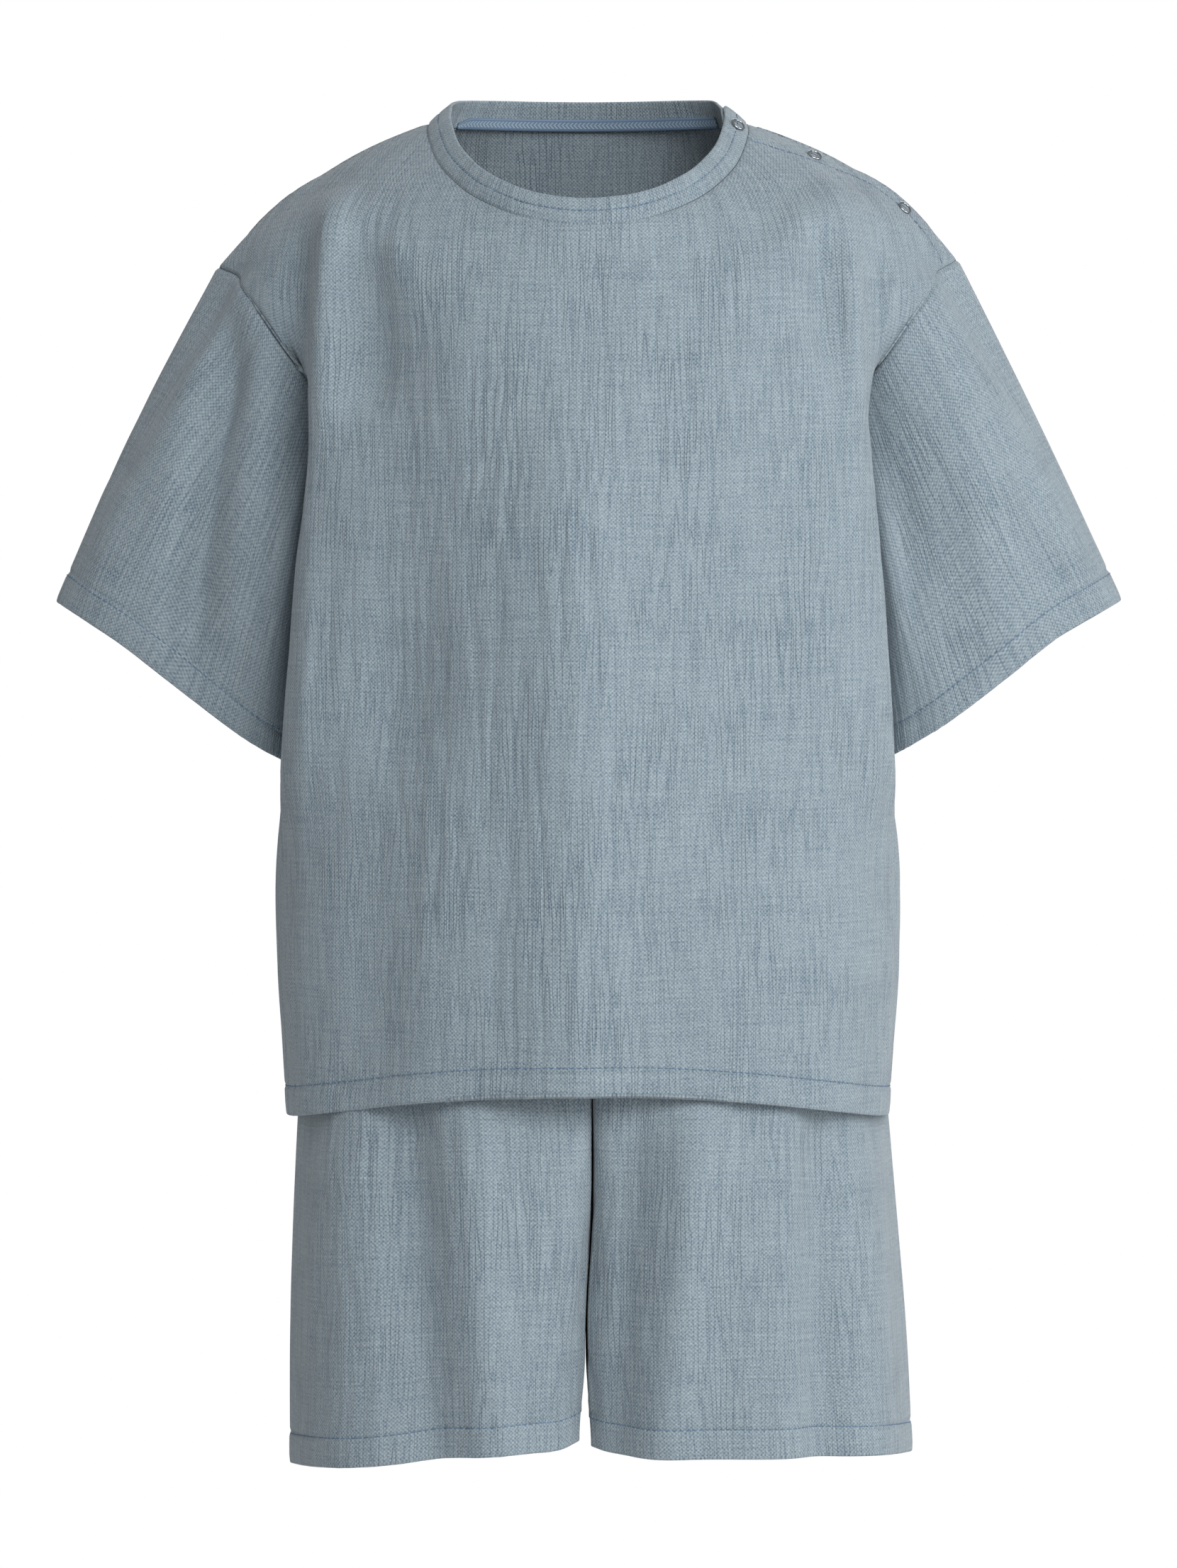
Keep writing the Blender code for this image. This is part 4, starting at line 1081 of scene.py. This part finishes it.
@dataclass
class Top:
    """The boxy top: front, back, two sleeves, neckband, tape, underlap and snaps."""

    finishes: Finishes
    wall: float = 0.9
    hem: float = 12.0
    front_columns: int = 356
    back_columns: int = 250
    shoulder_rows: int = 20
    armhole_rows: int = 40
    side_rows: int = 46
    sleeve_columns: int = 250
    sleeve_rows: int = 56
    sleeve_ends: tuple = ((215.3, -199.0, 119.8, -264.0), (216.4, -198.4, 119.8, -261.8))
    sleeve_hem_y: float = 22.0
    sleeve_half_depth: float = 30.0
    sleeve_puff: float = 7.0
    sleeve_bulge: tuple = (2.8, 1.2)
    hem_lift: tuple = (1.2, 2.6)
    snap_places: tuple = ((60.4, -8.9), (90.3, -19.4), (127.5, -39.4))
    snap_lift: float = 1.0
    snap_depth: float = 3.8
    snap_lean: float = 0.72
    placket_line: tuple = ((64.6, -14.5), (75.0, -17.2), (94.4, -23.4), (105.2, -26.9), (117.1, -33.1),
                           (124.0, -38.5), (130.0, -43.5), (135.9, -50.7), (139.9, -56.5), (142.6, -63.5))
    panels: dict = field(default_factory=dict)
    sleeves: dict = field(default_factory=dict)
    pieces: list = field(default_factory=list)

    def levels(self) -> Array:
        """Drops of the grid's rows, denser at the seams and at the hem's stitching."""
        tip, underarm, hem = TIP_LEVEL, UNDERARM_LEVEL, TORSO_ROWS[-1][0]
        shoulder = spread(0, tip, self.shoulder_rows, (0.5, 1.1, 1.9))
        armhole = np.linspace(tip, underarm, self.armhole_rows + 1)[1:]
        stitch = tuple(hem - self.hem + off for off in HEM_ROWS)
        side = spread(underarm, hem, self.side_rows, stitch + (hem - 0.9, hem - 1.8))[1:]
        return np.concatenate((shoulder, armhole, side))

    def lay_panels(self) -> None:
        """Lay the front and back on their forms, with folds, creases and rolled seams."""
        down = self.levels()
        hem = TORSO_ROWS[-1][0]
        for face, columns, seed in ((Face.FRONT, self.front_columns, 11), (Face.BACK, self.back_columns, 57)):
            edge = (0.0025, 0.006, 0.01)
            dense = tuple(1 - e for e in edge) + tuple(e - 1 for e in edge)
            across = spread(-1, 1, columns, dense)
            sheet = Sheet(BodyForm(face).points(across, down), -1 if face is Face.FRONT else 1)
            fade = ease((1 - np.abs(across)) / 0.156)[None, :] * ease(down / 40)[:, None]
            sheet.lift(fold_heights(sheet.points, BODY_FOLDS[face]) * fade)
            if face is Face.FRONT:
                edge_fade = ease((1 - np.abs(across)) / 0.07)[None, :] * ease(down / 25)[:, None]
                sheet.points[..., 1] -= crisp_heights(sheet.points) * edge_fade
                sheet.refresh()
            rim = ease((1 - np.abs(across)) / 0.03)[None, :] * ease(down / 9)[:, None]
            heights = Crinkle(seed=seed).heights(sheet.u, sheet.v) * rim
            above = (hem - down)[:, None]
            heights = heights * (0.55 + 0.45 * ease((above - 3) / 14))
            sheet.lift(press_hem(heights, above, self.hem))
            sheet.down = down
            self.panels[face] = sheet

    def armhole(self, side: Side) -> tuple[Array, Array]:
        """The armhole's loop, from the shoulder tip down the front and up the back.

        Args:
            side: which armhole.

        Returns:
            The loop's points, and its length so far at each point and at its end.
        """
        down = self.panels[Face.FRONT].down
        tip, underarm = TIP_LEVEL, UNDERARM_LEVEL
        inside = np.flatnonzero((down >= tip - 1e-6) & (down <= underarm + 1e-6))
        column = -1 if side is Side.LEFT else 0
        fore = self.panels[Face.FRONT].points[inside, column]
        aft = self.panels[Face.BACK].points[inside, column]
        loop = np.concatenate((fore, aft[-2::-1]))
        return loop, run_length(loop)

    def lay_sleeves(self) -> None:
        """Lay each sleeve as a tube from the armhole to its hem."""
        for side in Side:
            loop, length = self.armhole(side)
            middle_index = len(loop) // 2
            half, whole = length[middle_index], length[-1]
            share = np.arange(self.sleeve_columns) / self.sleeve_columns
            at = np.where(share <= 0.5, share * 2 * half, half + (share - 0.5) * 2 * (whole - half))
            armhole = np.stack([np.interp(at, length, loop[:, axis]) for axis in range(3)], axis=1)
            turn = share * 2 * math.pi
            ends = self.sleeve_ends[side is Side.LEFT]
            outer, inner = np.array(ends[:2]), np.array(ends[2:])
            centre, reach = (outer + inner) / 2, (outer - inner) / 2
            lean = np.array((-reach[1], reach[0])) / np.hypot(*reach)
            out = np.sign(np.cos(turn)) * np.abs(np.cos(turn)) ** 0.86
            flat = np.where(np.cos(turn) < 0, 0.5, 0.86)
            deep = np.sign(np.sin(turn)) * np.abs(np.sin(turn)) ** flat
            sag = 2.4 * np.exp(-((turn - 2.2) / 0.6) ** 2) + 1.2 * np.exp(-((turn - 5.0) / 0.8) ** 2)
            hem = np.stack((side.value * (centre[0] + reach[0] * out - lean[0] * sag),
                            self.sleeve_hem_y - self.sleeve_half_depth * deep,
                            centre[1] + reach[1] * out - lean[1] * sag), axis=1)
            hem[:, 2] += self.hem_lift[side is Side.LEFT] * np.exp(-((out - 0.45) / 0.4) ** 2)
            long = np.linalg.norm(hem - armhole, axis=1).mean()
            stitch = tuple(1 - (self.hem + off) / long for off in HEM_ROWS)
            places = spread(0, 1, self.sleeve_rows, (0.4 / long, 1 / long, 1.8 / long) + stitch)
            rows = []
            for place in places:
                row = (1 - place) * armhole + place * hem
                swell = math.sin(math.pi * place)
                row[:, 0] += side.value * self.sleeve_bulge[side is Side.LEFT] * swell * out * (out > 0)
                inner = np.exp(-((turn - 2.3) / 0.38) ** 2)
                row[:, 1] -= self.sleeve_puff * swell * (deep + inner)
                rows.append(row)
            sheet = Sheet(np.array(rows), side.value, closed=True)
            facing = np.clip(-sheet.normals[..., 1] * 1.5, 0, 1)
            folds = fold_heights(sheet.points, SLEEVE_FOLDS[side], facing)
            sheet.lift(folds * ease(places / 0.227)[:, None])
            u = (share * whole)[None, :] + 0 * sheet.u
            v = (places * long)[:, None] + 0 * sheet.v
            sheet.u, sheet.v = u, v
            seam = np.minimum(share, 1 - share)[None, :] * whole
            heights = Crinkle(seed=23 if side is Side.LEFT else 31, depth=0.45).heights(u, v)
            under = np.abs(share - 0.5)[None, :] * whole
            heights = heights * ease(v / 6) * ease(under / 5) * (0.4 + 0.6 * ease(seam / 4))
            above = long - v
            heights = press_hem(heights, above, self.hem)
            sheet.lift(heights - 0.5 * np.exp(-(under / 1.2) ** 2))
            low = ease(1 - np.abs(turn - math.pi) / 1.4)
            sheet.points[..., 0] += side.value * 0.45 * low[None, :] * (1 - places)[:, None]
            self.sleeves[side] = sheet

    def join_seams(self) -> None:
        """Roll the seam edges in along common normals."""
        front, back = self.panels[Face.FRONT], self.panels[Face.BACK]
        for column in (0, -1):
            common = unit(front.normals[:, column] + back.normals[:, column])
            front.normals[:, column] = common
            back.normals[:, column] = common
        for sheet in (front, back):
            sheet.sink_edges(("left", "right"))
            sheet.sink_edges(("top",), depth=0.5)
        for sheet in self.sleeves.values():
            sheet.sink_edges(("top",), depth=1.0)

    def build_panels(self) -> None:
        """Turn the hems up, make the panels' meshes and sew their hems."""
        sewn = []
        for face, sheet in self.panels.items():
            sewn.append(sheet.above_hem(self.hem))
            sheet.turn_up(self.hem)
            piece = sheet.build(f"{face.value}_panel", self.finishes.muslin, self.wall)
            self.keep(piece, f"top_{face.value}")
        self.stitch("top_hem_stitches", sewn)
        sewn = []
        for side, sheet in self.sleeves.items():
            points, normals = sheet.above_hem(self.hem)
            sewn.append((np.concatenate((points, points[:1])), np.concatenate((normals, normals[:1]))))
            sheet.turn_up(self.hem)
            word = side.name.lower()
            piece = sheet.build(f"sleeve_{word}", self.finishes.muslin, self.wall)
            self.keep(piece, f"top_sleeve_{word}")
        self.stitch("sleeve_hem_stitches", sewn)

    def keep(self, piece: bpy.types.Object, node: str, slot: str = "muslin") -> None:
        """Let a piece stand for its solid and report it."""
        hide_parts(node)
        self.pieces.append(piece)
        area = sum(face.area for face in piece.data.polygons)
        LOG.info("made %s with %d faces, %.4f m2", piece.name, len(piece.data.polygons), area)

    def stitch(self, name: str, lines: list[tuple[Array, Array]]) -> None:
        """Sew rows of stitches and report them."""
        piece = StitchRow(name).build(lines, self.finishes.thread)
        LOG.info("sewed %s with %d faces", piece.name, len(piece.data.polygons))

    def build(self) -> None:
        """Make the whole top."""
        self.lay_panels()
        self.lay_sleeves()
        self.join_seams()
        band = Neckband(self)
        band.build()
        self.build_underlap()
        self.build_placket()
        self.build_panels()
        self.build_snaps(band)

    def build_underlap(self) -> None:
        """The strip under the left shoulder's opening."""
        down = np.linspace(5, 58, 40)
        columns = []
        for face, reaches in ((Face.BACK, (3.0, 1.5)), (Face.FRONT, np.linspace(0, 14, 12))):
            form = BodyForm(face)
            near = form.points(np.array((0.96, 1.0)), down)
            length = np.linalg.norm(near[:, 1] - near[:, 0], axis=1) / 0.04
            for reach in reaches:
                columns.append([form.points(np.array((1 - reach / length[j],)), down[j:j + 1])[0, 0]
                                for j in range(len(down))])
        sheet = Sheet(np.swapaxes(np.array(columns), 0, 1), 1)
        if sheet.normals[..., 2].mean() < 0:
            sheet.outward = -1
            sheet.refresh()
        sheet.points = sheet.points - sheet.normals * 2.2
        self.keep(sheet.build("underlap", self.finishes.muslin, self.wall), "shoulder_underlap")

    def surface_at(self, x: float, z: float, y: float = 0.0, weight: float = 0.0) -> tuple[Array, Array]:
        """Point and normal of the upper front nearest to a place seen from the front."""
        sheet = self.panels[Face.FRONT]
        inside = (slice(0, np.count_nonzero(sheet.down < 75)), slice(4, -4))
        points, normals = sheet.points[inside], sheet.normals[inside]
        far = (points[..., 0] - x) ** 2 + (points[..., 2] - z) ** 2 + weight * (points[..., 1] - y) ** 2
        j, i = np.unravel_index(np.argmin(far), far.shape)
        return points[j, i], normals[j, i]

    def build_placket(self) -> None:
        """Sew the line of stitches that holds the opening's facing on the left shoulder."""
        line = np.array(self.placket_line)
        length = run_length(line)
        at = np.linspace(0, length[-1], 60)
        places = through(length, line, at)
        found = [self.surface_at(x, z) for x, z in places]
        points = np.array([point for point, normal in found])
        normals = np.array([normal for point, normal in found])
        for _ in range(3):
            points[1:-1] = (points[:-2] + 2 * points[1:-1] + points[2:]) / 4
        self.stitch("placket_stitches", [(points, normals)])

    def build_snaps(self, band: "Neckband") -> None:
        """The three ring snaps: outer rings on the cloth, inner rings behind the underlap."""
        for number, (x, z) in enumerate(self.snap_places, 1):
            place, normal = band.face_near(x, z) if number == 1 else self.surface_at(x, z)
            LOG.info("snap %d at %s facing %s", number, np.round(place, 1), np.round(normal, 2))
            tipped = unit(np.array((normal[0], -self.snap_lean * np.hypot(normal[0], normal[2]), normal[2])))
            for half, centre, facing in (("ring", place + self.snap_lift * normal, tipped),
                                         ("back", place - self.snap_depth * normal, normal)):
                SnapRing(f"snap_{half}_{number}").build(centre, facing, self.finishes.nickel,
                                                        f"snap_{number}_{half}")


@dataclass
class SnapRing:
    """An open ring of a pressed snap, with its rolled rim."""

    name: str
    radius: float = 2.55
    wire: float = 0.5
    steps: int = 48
    section: int = 12

    def build(self, centre: Array, normal: Array, material: bpy.types.Material, node: str) -> None:
        """Spin the ring and set it on the cloth.

        Args:
            centre: middle of the ring in millimetres.
            normal: direction out of the cloth.
            material: its finish.
            node: the solid that it stands for.
        """
        work = bmesh.new()
        made = bmesh.ops.create_circle(work, segments=self.section, radius=self.wire * MM)
        bmesh.ops.scale(work, vec=(1, 0.9, 1), verts=made["verts"])
        upright = Matrix.Rotation(math.pi / 2, 3, "X")
        bmesh.ops.rotate(work, cent=(0, 0, 0), matrix=upright, verts=made["verts"])
        bmesh.ops.translate(work, vec=(self.radius * MM, 0, 0), verts=made["verts"])
        bmesh.ops.spin(work, geom=work.verts[:] + work.edges[:], cent=(0, 0, 0), axis=(0, 0, 1),
                       angle=2 * math.pi, steps=self.steps, use_merge=True)
        bmesh.ops.remove_doubles(work, verts=work.verts, dist=1e-7)
        bmesh.ops.recalc_face_normals(work, faces=work.faces)
        up = Vector(normal).normalized()
        turn = up.to_track_quat("Z", "Y").to_matrix()
        bmesh.ops.rotate(work, cent=(0, 0, 0), matrix=turn, verts=work.verts)
        bmesh.ops.translate(work, vec=Vector(centre) * MM, verts=work.verts)
        mesh = bpy.data.meshes.new(self.name)
        work.to_mesh(mesh)
        work.free()
        piece = finish_piece(self.name, mesh, material)
        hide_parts(node)
        LOG.info("made %s", self.name)


@dataclass
class Neckband:
    """The folded band round the neck with its stitching, and the tape behind it."""

    top: Top
    height: float = 11.8
    wall: float = 1.4
    lap_under: float = 22.0
    lap_over: float = 6.0
    lap_lift: float = 1.8
    tape_top: float = 4.7
    tape_bottom: float = -0.3
    columns: int = 420
    frame: tuple = ()

    def lean(self, points: Array) -> Array:
        """Direction of the band from its seam: in over the shoulders, up at the back."""
        neck = Neck()
        x, y = points[:, 0], points[:, 1]
        ahead = np.clip((neck.side_y - y) / neck.front_reach, 0, 1)
        behind = np.clip((y - neck.side_y) / neck.back_reach, 0, 1)
        inward = -np.sign(x) * 0.83 * np.clip(np.abs(x) / neck.half_width, 0, 1) ** 2.2
        inward = inward * (1 - 0.25 * ease(behind * 2))
        up = 0.60 + 0.33 * ahead + 0.34 * ease(behind * 1.6)
        return unit(np.stack((inward, 0.36 * ahead - 0.34 * behind, up), axis=1))

    def trace(self) -> None:
        """Follow the neck seam from the lapped shoulder round the back and the front."""
        front, back = BodyForm(Face.FRONT), BodyForm(Face.BACK)
        across = np.linspace(-1, 1, 241)
        level = np.array((0.0, 4.0))
        aft = back.points(across[::-1], level)
        fore = front.points(across[1:], level)
        seam = np.concatenate((aft[0], fore[0]))
        below = np.concatenate((aft[1], fore[1]))
        lean = self.lean(seam)
        length = run_length(seam)
        whole = length[-1]
        places = np.linspace(-self.lap_under, whole + self.lap_over, self.columns)
        wrapped = np.where(places < 0, places + whole, np.where(places > whole, places - whole, places))
        base = np.stack([np.interp(wrapped, length, seam[:, i]) for i in range(3)], axis=1)
        tilt = unit(np.stack([np.interp(wrapped, length, lean[:, i]) for i in range(3)], axis=1))
        down = np.stack([np.interp(wrapped, length, (below - seam)[:, i]) for i in range(3)], axis=1)
        run = np.gradient(base, axis=0)
        for _ in range(4):
            run[1:-1] = (run[:-2] + 2 * run[1:-1] + run[2:]) / 4
        face = unit(np.cross(run, tilt))
        away = base - np.array((0, -10, -60))
        outward = face * np.sign(np.sum(face * away, axis=1, keepdims=True))
        lift = -self.lap_lift * (1 - ease((places - 8) / 14))
        self.frame = (places, base, tilt, outward, down, lift)

    def points(self, heights: Array, depth: Array) -> Array:
        """Points of the band.

        Args:
            heights: heights above the seam.
            depth: how far each height lies behind the outer face.

        Returns:
            A grid of points, a row for each height.
        """
        places, base, tilt, outward, down, lift = self.frame
        rows = []
        end = np.minimum(places + self.lap_under, places[-1] - places)
        shrink = 1 - 0.55 * (1 - ease(end / 9)) ** 2
        for height, deep in zip(heights, depth):
            bow = 0.45 * math.sin(math.pi * min(max(height / self.height, 0), 1))
            rise = (height * np.where(height > 0, shrink, 1))[:, None]
            rows.append(base + tilt * rise + outward * (bow - deep + lift[:, None]))
        return np.array(rows)

    def section(self) -> tuple[Array, Array]:
        """Heights and depths round the band's section: up its face, over the fold, down inside."""
        half = self.wall / 2
        face = spread(0, self.height - half, 10, (5.2, 5.55, 5.9, 6.25, 6.6, 0.4, 0.9))
        turn = np.linspace(0, math.pi, 7)[1:-1]
        groove = 0.28 * np.exp(-((face - 5.9) / 0.5) ** 2) + 0.5 * np.exp(-(face / 0.6) ** 2)
        fold_height = self.height - half + half * np.sin(turn)
        fold_depth = half * (1 - np.cos(turn))
        inner = np.array((self.height - half, 8.0, 5.9, 3.5, 0.0))
        heights = np.concatenate((face, fold_height, inner))
        return heights, np.concatenate((groove, fold_depth, np.full(len(inner), self.wall)))

    def build(self) -> None:
        """Make the band, its stitches and the tape."""
        self.trace()
        heights, depth = self.section()
        grid = self.points(heights, depth)
        middle = (grid[0] + grid[-1]) / 2
        for column in (0, -1):
            grid[:, column] = (grid[:, column] + grid[::-1, column]) / 2
        sheet = Sheet(grid, 1)
        places = self.frame[0]
        outward = self.frame[3]
        if np.sum(sheet.normals[2] * outward) < 0:
            sheet.outward = -1
            sheet.refresh()
        sheet.u = np.repeat(places[None, :], len(heights), axis=0)
        sheet.v = np.repeat(heights[:, None], len(places), axis=1)
        ripple = 0.16 * value_noise(places / 4.2, 0 * places, 71)
        ripple = ripple + 0.14 * value_noise(places / 9, 0 * places, 72)
        bulk = np.where(depth < 0.55, 1.0, 0.0) * ease(heights / 2)
        sheet.points = sheet.points + outward[None] * (bulk[:, None] * ripple[None, :])[..., None]
        sheet.refresh()
        piece = sheet.build("neckband", self.top.finishes.muslin, 0.0)
        self.top.keep(piece, "top_neckband")
        stitch = self.points(np.array((5.9,)), np.array((0.28,)))[0]
        self.top.stitch("neckband_stitches", [(stitch, outward)])
        self.build_tape()
        LOG.info("band seam length %.1f mm, middle at %s", places[-1], np.round(middle[len(middle) // 2], 1))

    def build_tape(self) -> None:
        """The woven tape inside the back neck, over the band's seam."""
        places, base, tilt, outward, down, lift = self.frame
        low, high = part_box("top_neck_tape")
        y = base[:, 1]
        back = places < places[-1] * 0.75
        inside = np.flatnonzero(back & (places > 6) & (np.abs(base[:, 0]) < high[0] / MM + 1.0) & (y > 5))
        kept = self.frame
        self.frame = tuple(part[inside] for part in (places, base, tilt, outward, down, lift))
        heights = np.linspace(self.tape_top, self.tape_bottom, 7)
        grid = self.points(heights, np.full(7, self.wall + 0.3))
        facing = self.frame[3]
        along = self.frame[0]
        self.frame = kept
        sheet = Sheet(grid, 1)
        if np.sum(sheet.normals[2] * facing) < 0:
            sheet.outward = -1
            sheet.refresh()
        sheet.u = np.repeat(along[None, :], 7, axis=0)
        sheet.v = np.repeat((self.tape_top - heights)[:, None], len(along), axis=1)
        self.top.keep(sheet.build("neck_tape", self.top.finishes.tape, 0.8), "top_neck_tape", "neck_tape")

    def face_near(self, x: float, z: float) -> tuple[Array, Array]:
        """Point and normal of the front band's middle nearest to a place seen from the front."""
        places, outward = self.frame[0], self.frame[3]
        middle = self.points(np.array((5.9,)), np.zeros(1))[0]
        far = np.hypot(middle[:, 0] - x, middle[:, 2] - z) + np.where(places > places[-1] / 2, 0, 1000)
        near = int(np.argmin(far))
        return middle[near], outward[near]


@dataclass
class Shorts:
    """The wide shorts: four leg panels and the waistband."""

    finishes: Finishes
    wall: float = 0.9
    hem: float = 12.0
    front_columns: int = 170
    back_columns: int = 110
    rise_rows: int = 44
    leg_rows: int = 26
    waist_height: float = 20.0
    waist_take_up: float = 0.965
    waist_wall: float = 2.0
    panels: dict = field(default_factory=dict)

    def build(self) -> None:
        """Make the shorts."""
        self.lay_panels()
        self.join_seams()
        self.build_waistband()
        sewn = []
        for (face, side), sheet in self.panels.items():
            sheet.sink_edges(("left", "right"), depth=0.9)
            points, normals = sheet.above_hem(self.hem)
            sewn.append((points, normals))
            sheet.turn_up(self.hem)
            word = side.name.lower()
            piece = sheet.build(f"leg_{face.value}_{word}", self.finishes.muslin, self.wall)
            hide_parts(f"shorts_{face.value}_{word}")
            LOG.info("made %s with %d faces", piece.name, len(piece.data.polygons))
        stitches = StitchRow("leg_hem_stitches").build(sewn, self.finishes.thread)
        LOG.info("sewed %s", stitches.name)

    def lay_panels(self) -> None:
        """Lay the four leg panels on their forms, with folds and creases."""
        hem = LEG_LEVELS[-1]
        stitch = tuple(hem - self.hem + off for off in HEM_ROWS)
        down = np.concatenate((spread(0, CROTCH_LEVEL, self.rise_rows),
                               spread(CROTCH_LEVEL, hem, self.leg_rows, stitch + (hem - 0.9, hem - 1.8))[1:]))
        edge = (0.004, 0.009, 0.016)
        for face in Face:
            columns = self.front_columns if face is Face.FRONT else self.back_columns
            across = spread(0, 1, columns, edge + tuple(1 - e for e in edge))
            for side in Side:
                form = LegForm(face, side)
                turn = -side.value if face is Face.FRONT else side.value
                sheet = Sheet(form.points(across, down), turn)
                sides = ease(across / 0.19) * ease((1 - across) / 0.19)
                if face is Face.FRONT:
                    fade = sides[None, :] * ease(down / 43)[:, None]
                    sheet.lift(fold_heights(sheet.points, LEG_FOLDS[side]) * fade)
                seed = 41 + 3 * side.value + (7 if face is Face.BACK else 0)
                rim = ease(across / 0.04) * ease((1 - across) / 0.04)
                heights = Crinkle(seed=seed).heights(sheet.u, sheet.v)
                heights = heights * rim[None, :] * ease(down / 9)[:, None]
                above = (hem - down)[:, None]
                heights = heights * (0.55 + 0.45 * ease((above - 3) / 14))
                sheet.lift(press_hem(heights, above, self.hem))
                sheet.points = form.settle(sheet.points, down)
                sheet.refresh()
                sheet.down = down
                self.panels[(face, side)] = sheet

    def join_seams(self) -> None:
        """Give the edges that meet in a seam one direction to roll in."""
        for side in Side:
            front, back = self.panels[(Face.FRONT, side)], self.panels[(Face.BACK, side)]
            common = unit(front.normals[:, -1] + back.normals[:, -1])
            front.normals[:, -1] = common
            back.normals[:, -1] = common
        for sheet in self.panels.values():
            above = np.count_nonzero(sheet.down <= CROTCH_LEVEL)
            sheet.normals[:above, :4, 0] = 0
            sheet.normals[:above, :4] = unit(sheet.normals[:above, :4])

    def build_waistband(self) -> None:
        """The waistband, drawn in by its elastic."""
        loops = []
        for face in Face:
            left, right = self.panels[(face, Side.LEFT)], self.panels[(face, Side.RIGHT)]
            row = np.concatenate((right.points[0, ::-1], left.points[0, 1:]))
            if face is Face.BACK:
                row = row[-2:0:-1]
            loops.append(row)
        loop = np.concatenate(loops)
        length = run_length(loop)
        rows = []
        for share in np.linspace(1, 0, 9):
            row = loop.copy()
            row[:, :2] *= 1 - (1 - self.waist_take_up) * share
            row[:, 2] += self.waist_height * share
            rows.append(row)
        sheet = Sheet(np.array(rows), 1, closed=True)
        if np.sum(sheet.normals[..., :2] * sheet.points[..., :2]) < 0:
            sheet.outward = -1
            sheet.refresh()
        bulge = np.sin(np.pi * np.linspace(0.02, 0.98, 9))[:, None]
        gather = value_noise(length / 4.5, 0 * length, 83)[None, :]
        sheet.lift(0.5 * bulge * gather)
        piece = sheet.build("waistband", self.finishes.muslin, self.waist_wall)
        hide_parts("shorts_waistband")
        LOG.info("made %s with %d faces", piece.name, len(piece.data.polygons))


@dataclass
class Studio:
    """Pale floor, soft light from the viewer's right, and the camera."""

    distance: float = 2.6
    pixel_mm: float = 0.285
    image_height: int = 2212
    centre: tuple[float, float] = (0.0003, -0.2725)
    floor_z: float = -0.95
    floor_size: float = 2.9
    sky: float = 0.42

    def build(self) -> None:
        """Set up the stage."""
        self.place_camera()
        self.light_sky()
        self.add_lamp("key", (2.3, -1.3, 0.3), 1.5, 33.0)
        self.add_lamp("front", (0.7, -1.95, 0.9), 1.2, 36.5)
        self.add_lamp("back", (0.4, 2.2, 1.0), 1.4, 14.0)
        work = bmesh.new()
        bmesh.ops.create_grid(work, x_segments=8, y_segments=8, size=self.floor_size)
        bmesh.ops.translate(work, vec=(0, 0, self.floor_z), verts=work.verts)
        mesh = bpy.data.meshes.new("floor")
        work.to_mesh(mesh)
        work.free()
        mesh.materials.append(PalePaper().material())
        floor = bpy.data.objects.new("floor", mesh)
        bpy.context.scene.collection.objects.link(floor)

    def place_camera(self) -> None:
        """Put the camera level with the garment's middle, in front of it."""
        camera = bpy.data.cameras.new("camera")
        camera.sensor_fit = "VERTICAL"
        camera.sensor_height = 24.0
        camera.lens = camera.sensor_height * self.distance / (self.image_height * self.pixel_mm * MM)
        thing = bpy.data.objects.new("camera", camera)
        thing.location = (self.centre[0], -self.distance, self.centre[1])
        thing.rotation_euler = (math.pi / 2, 0, 0)
        bpy.context.scene.collection.objects.link(thing)
        bpy.context.scene.camera = thing

    def light_sky(self) -> None:
        """A white surround that is seen at full white and lights the cloth softly."""
        world = bpy.data.worlds.new("surround")
        bpy.context.scene.world = world
        world.use_nodes = True
        tree = world.node_tree
        shader = tree.nodes["Background"]
        seen = add_node(tree, "ShaderNodeLightPath")
        level = add_node(tree, "ShaderNodeMapRange", {"To Min": self.sky, "To Max": 1.0},
                         {"Value": seen.outputs["Is Camera Ray"]})
        tree.links.new(level.outputs["Result"], shader.inputs["Strength"])
        shader.inputs["Color"].default_value = (1, 1, 1, 1)
        bpy.context.scene.view_settings.view_transform = "Standard"

    def add_lamp(self, name: str, place: tuple[float, float, float], size: float, power: float) -> None:
        """Add a square soft light that faces the garment.

        Args:
            name: name of the light.
            place: its place in metres.
            size: length of its side.
            power: its power in watts.
        """
        light = bpy.data.lights.new(name, "AREA")
        light.shape = "SQUARE"
        light.size = size
        light.energy = power
        thing = bpy.data.objects.new(name, light)
        thing.location = place
        aim = Vector((0, 0, self.centre[1])) - Vector(place)
        thing.rotation_euler = aim.to_track_quat("-Z", "Y").to_euler()
        bpy.context.scene.collection.objects.link(thing)


def main() -> None:
    """Dress the set and light it."""
    logging.basicConfig(level=logging.INFO, format="%(message)s")
    finishes = Finishes(MuslinChambray().material(), HerringboneTape().material(),
                        SewingThread().material(), NickelPlate().material())
    Studio().build()
    LOG.info("studio ready")
    Top(finishes).build()
    LOG.info("top dressed")
    Shorts(finishes).build()
    LOG.info("shorts dressed")


if __name__ == "__main__":
    main()
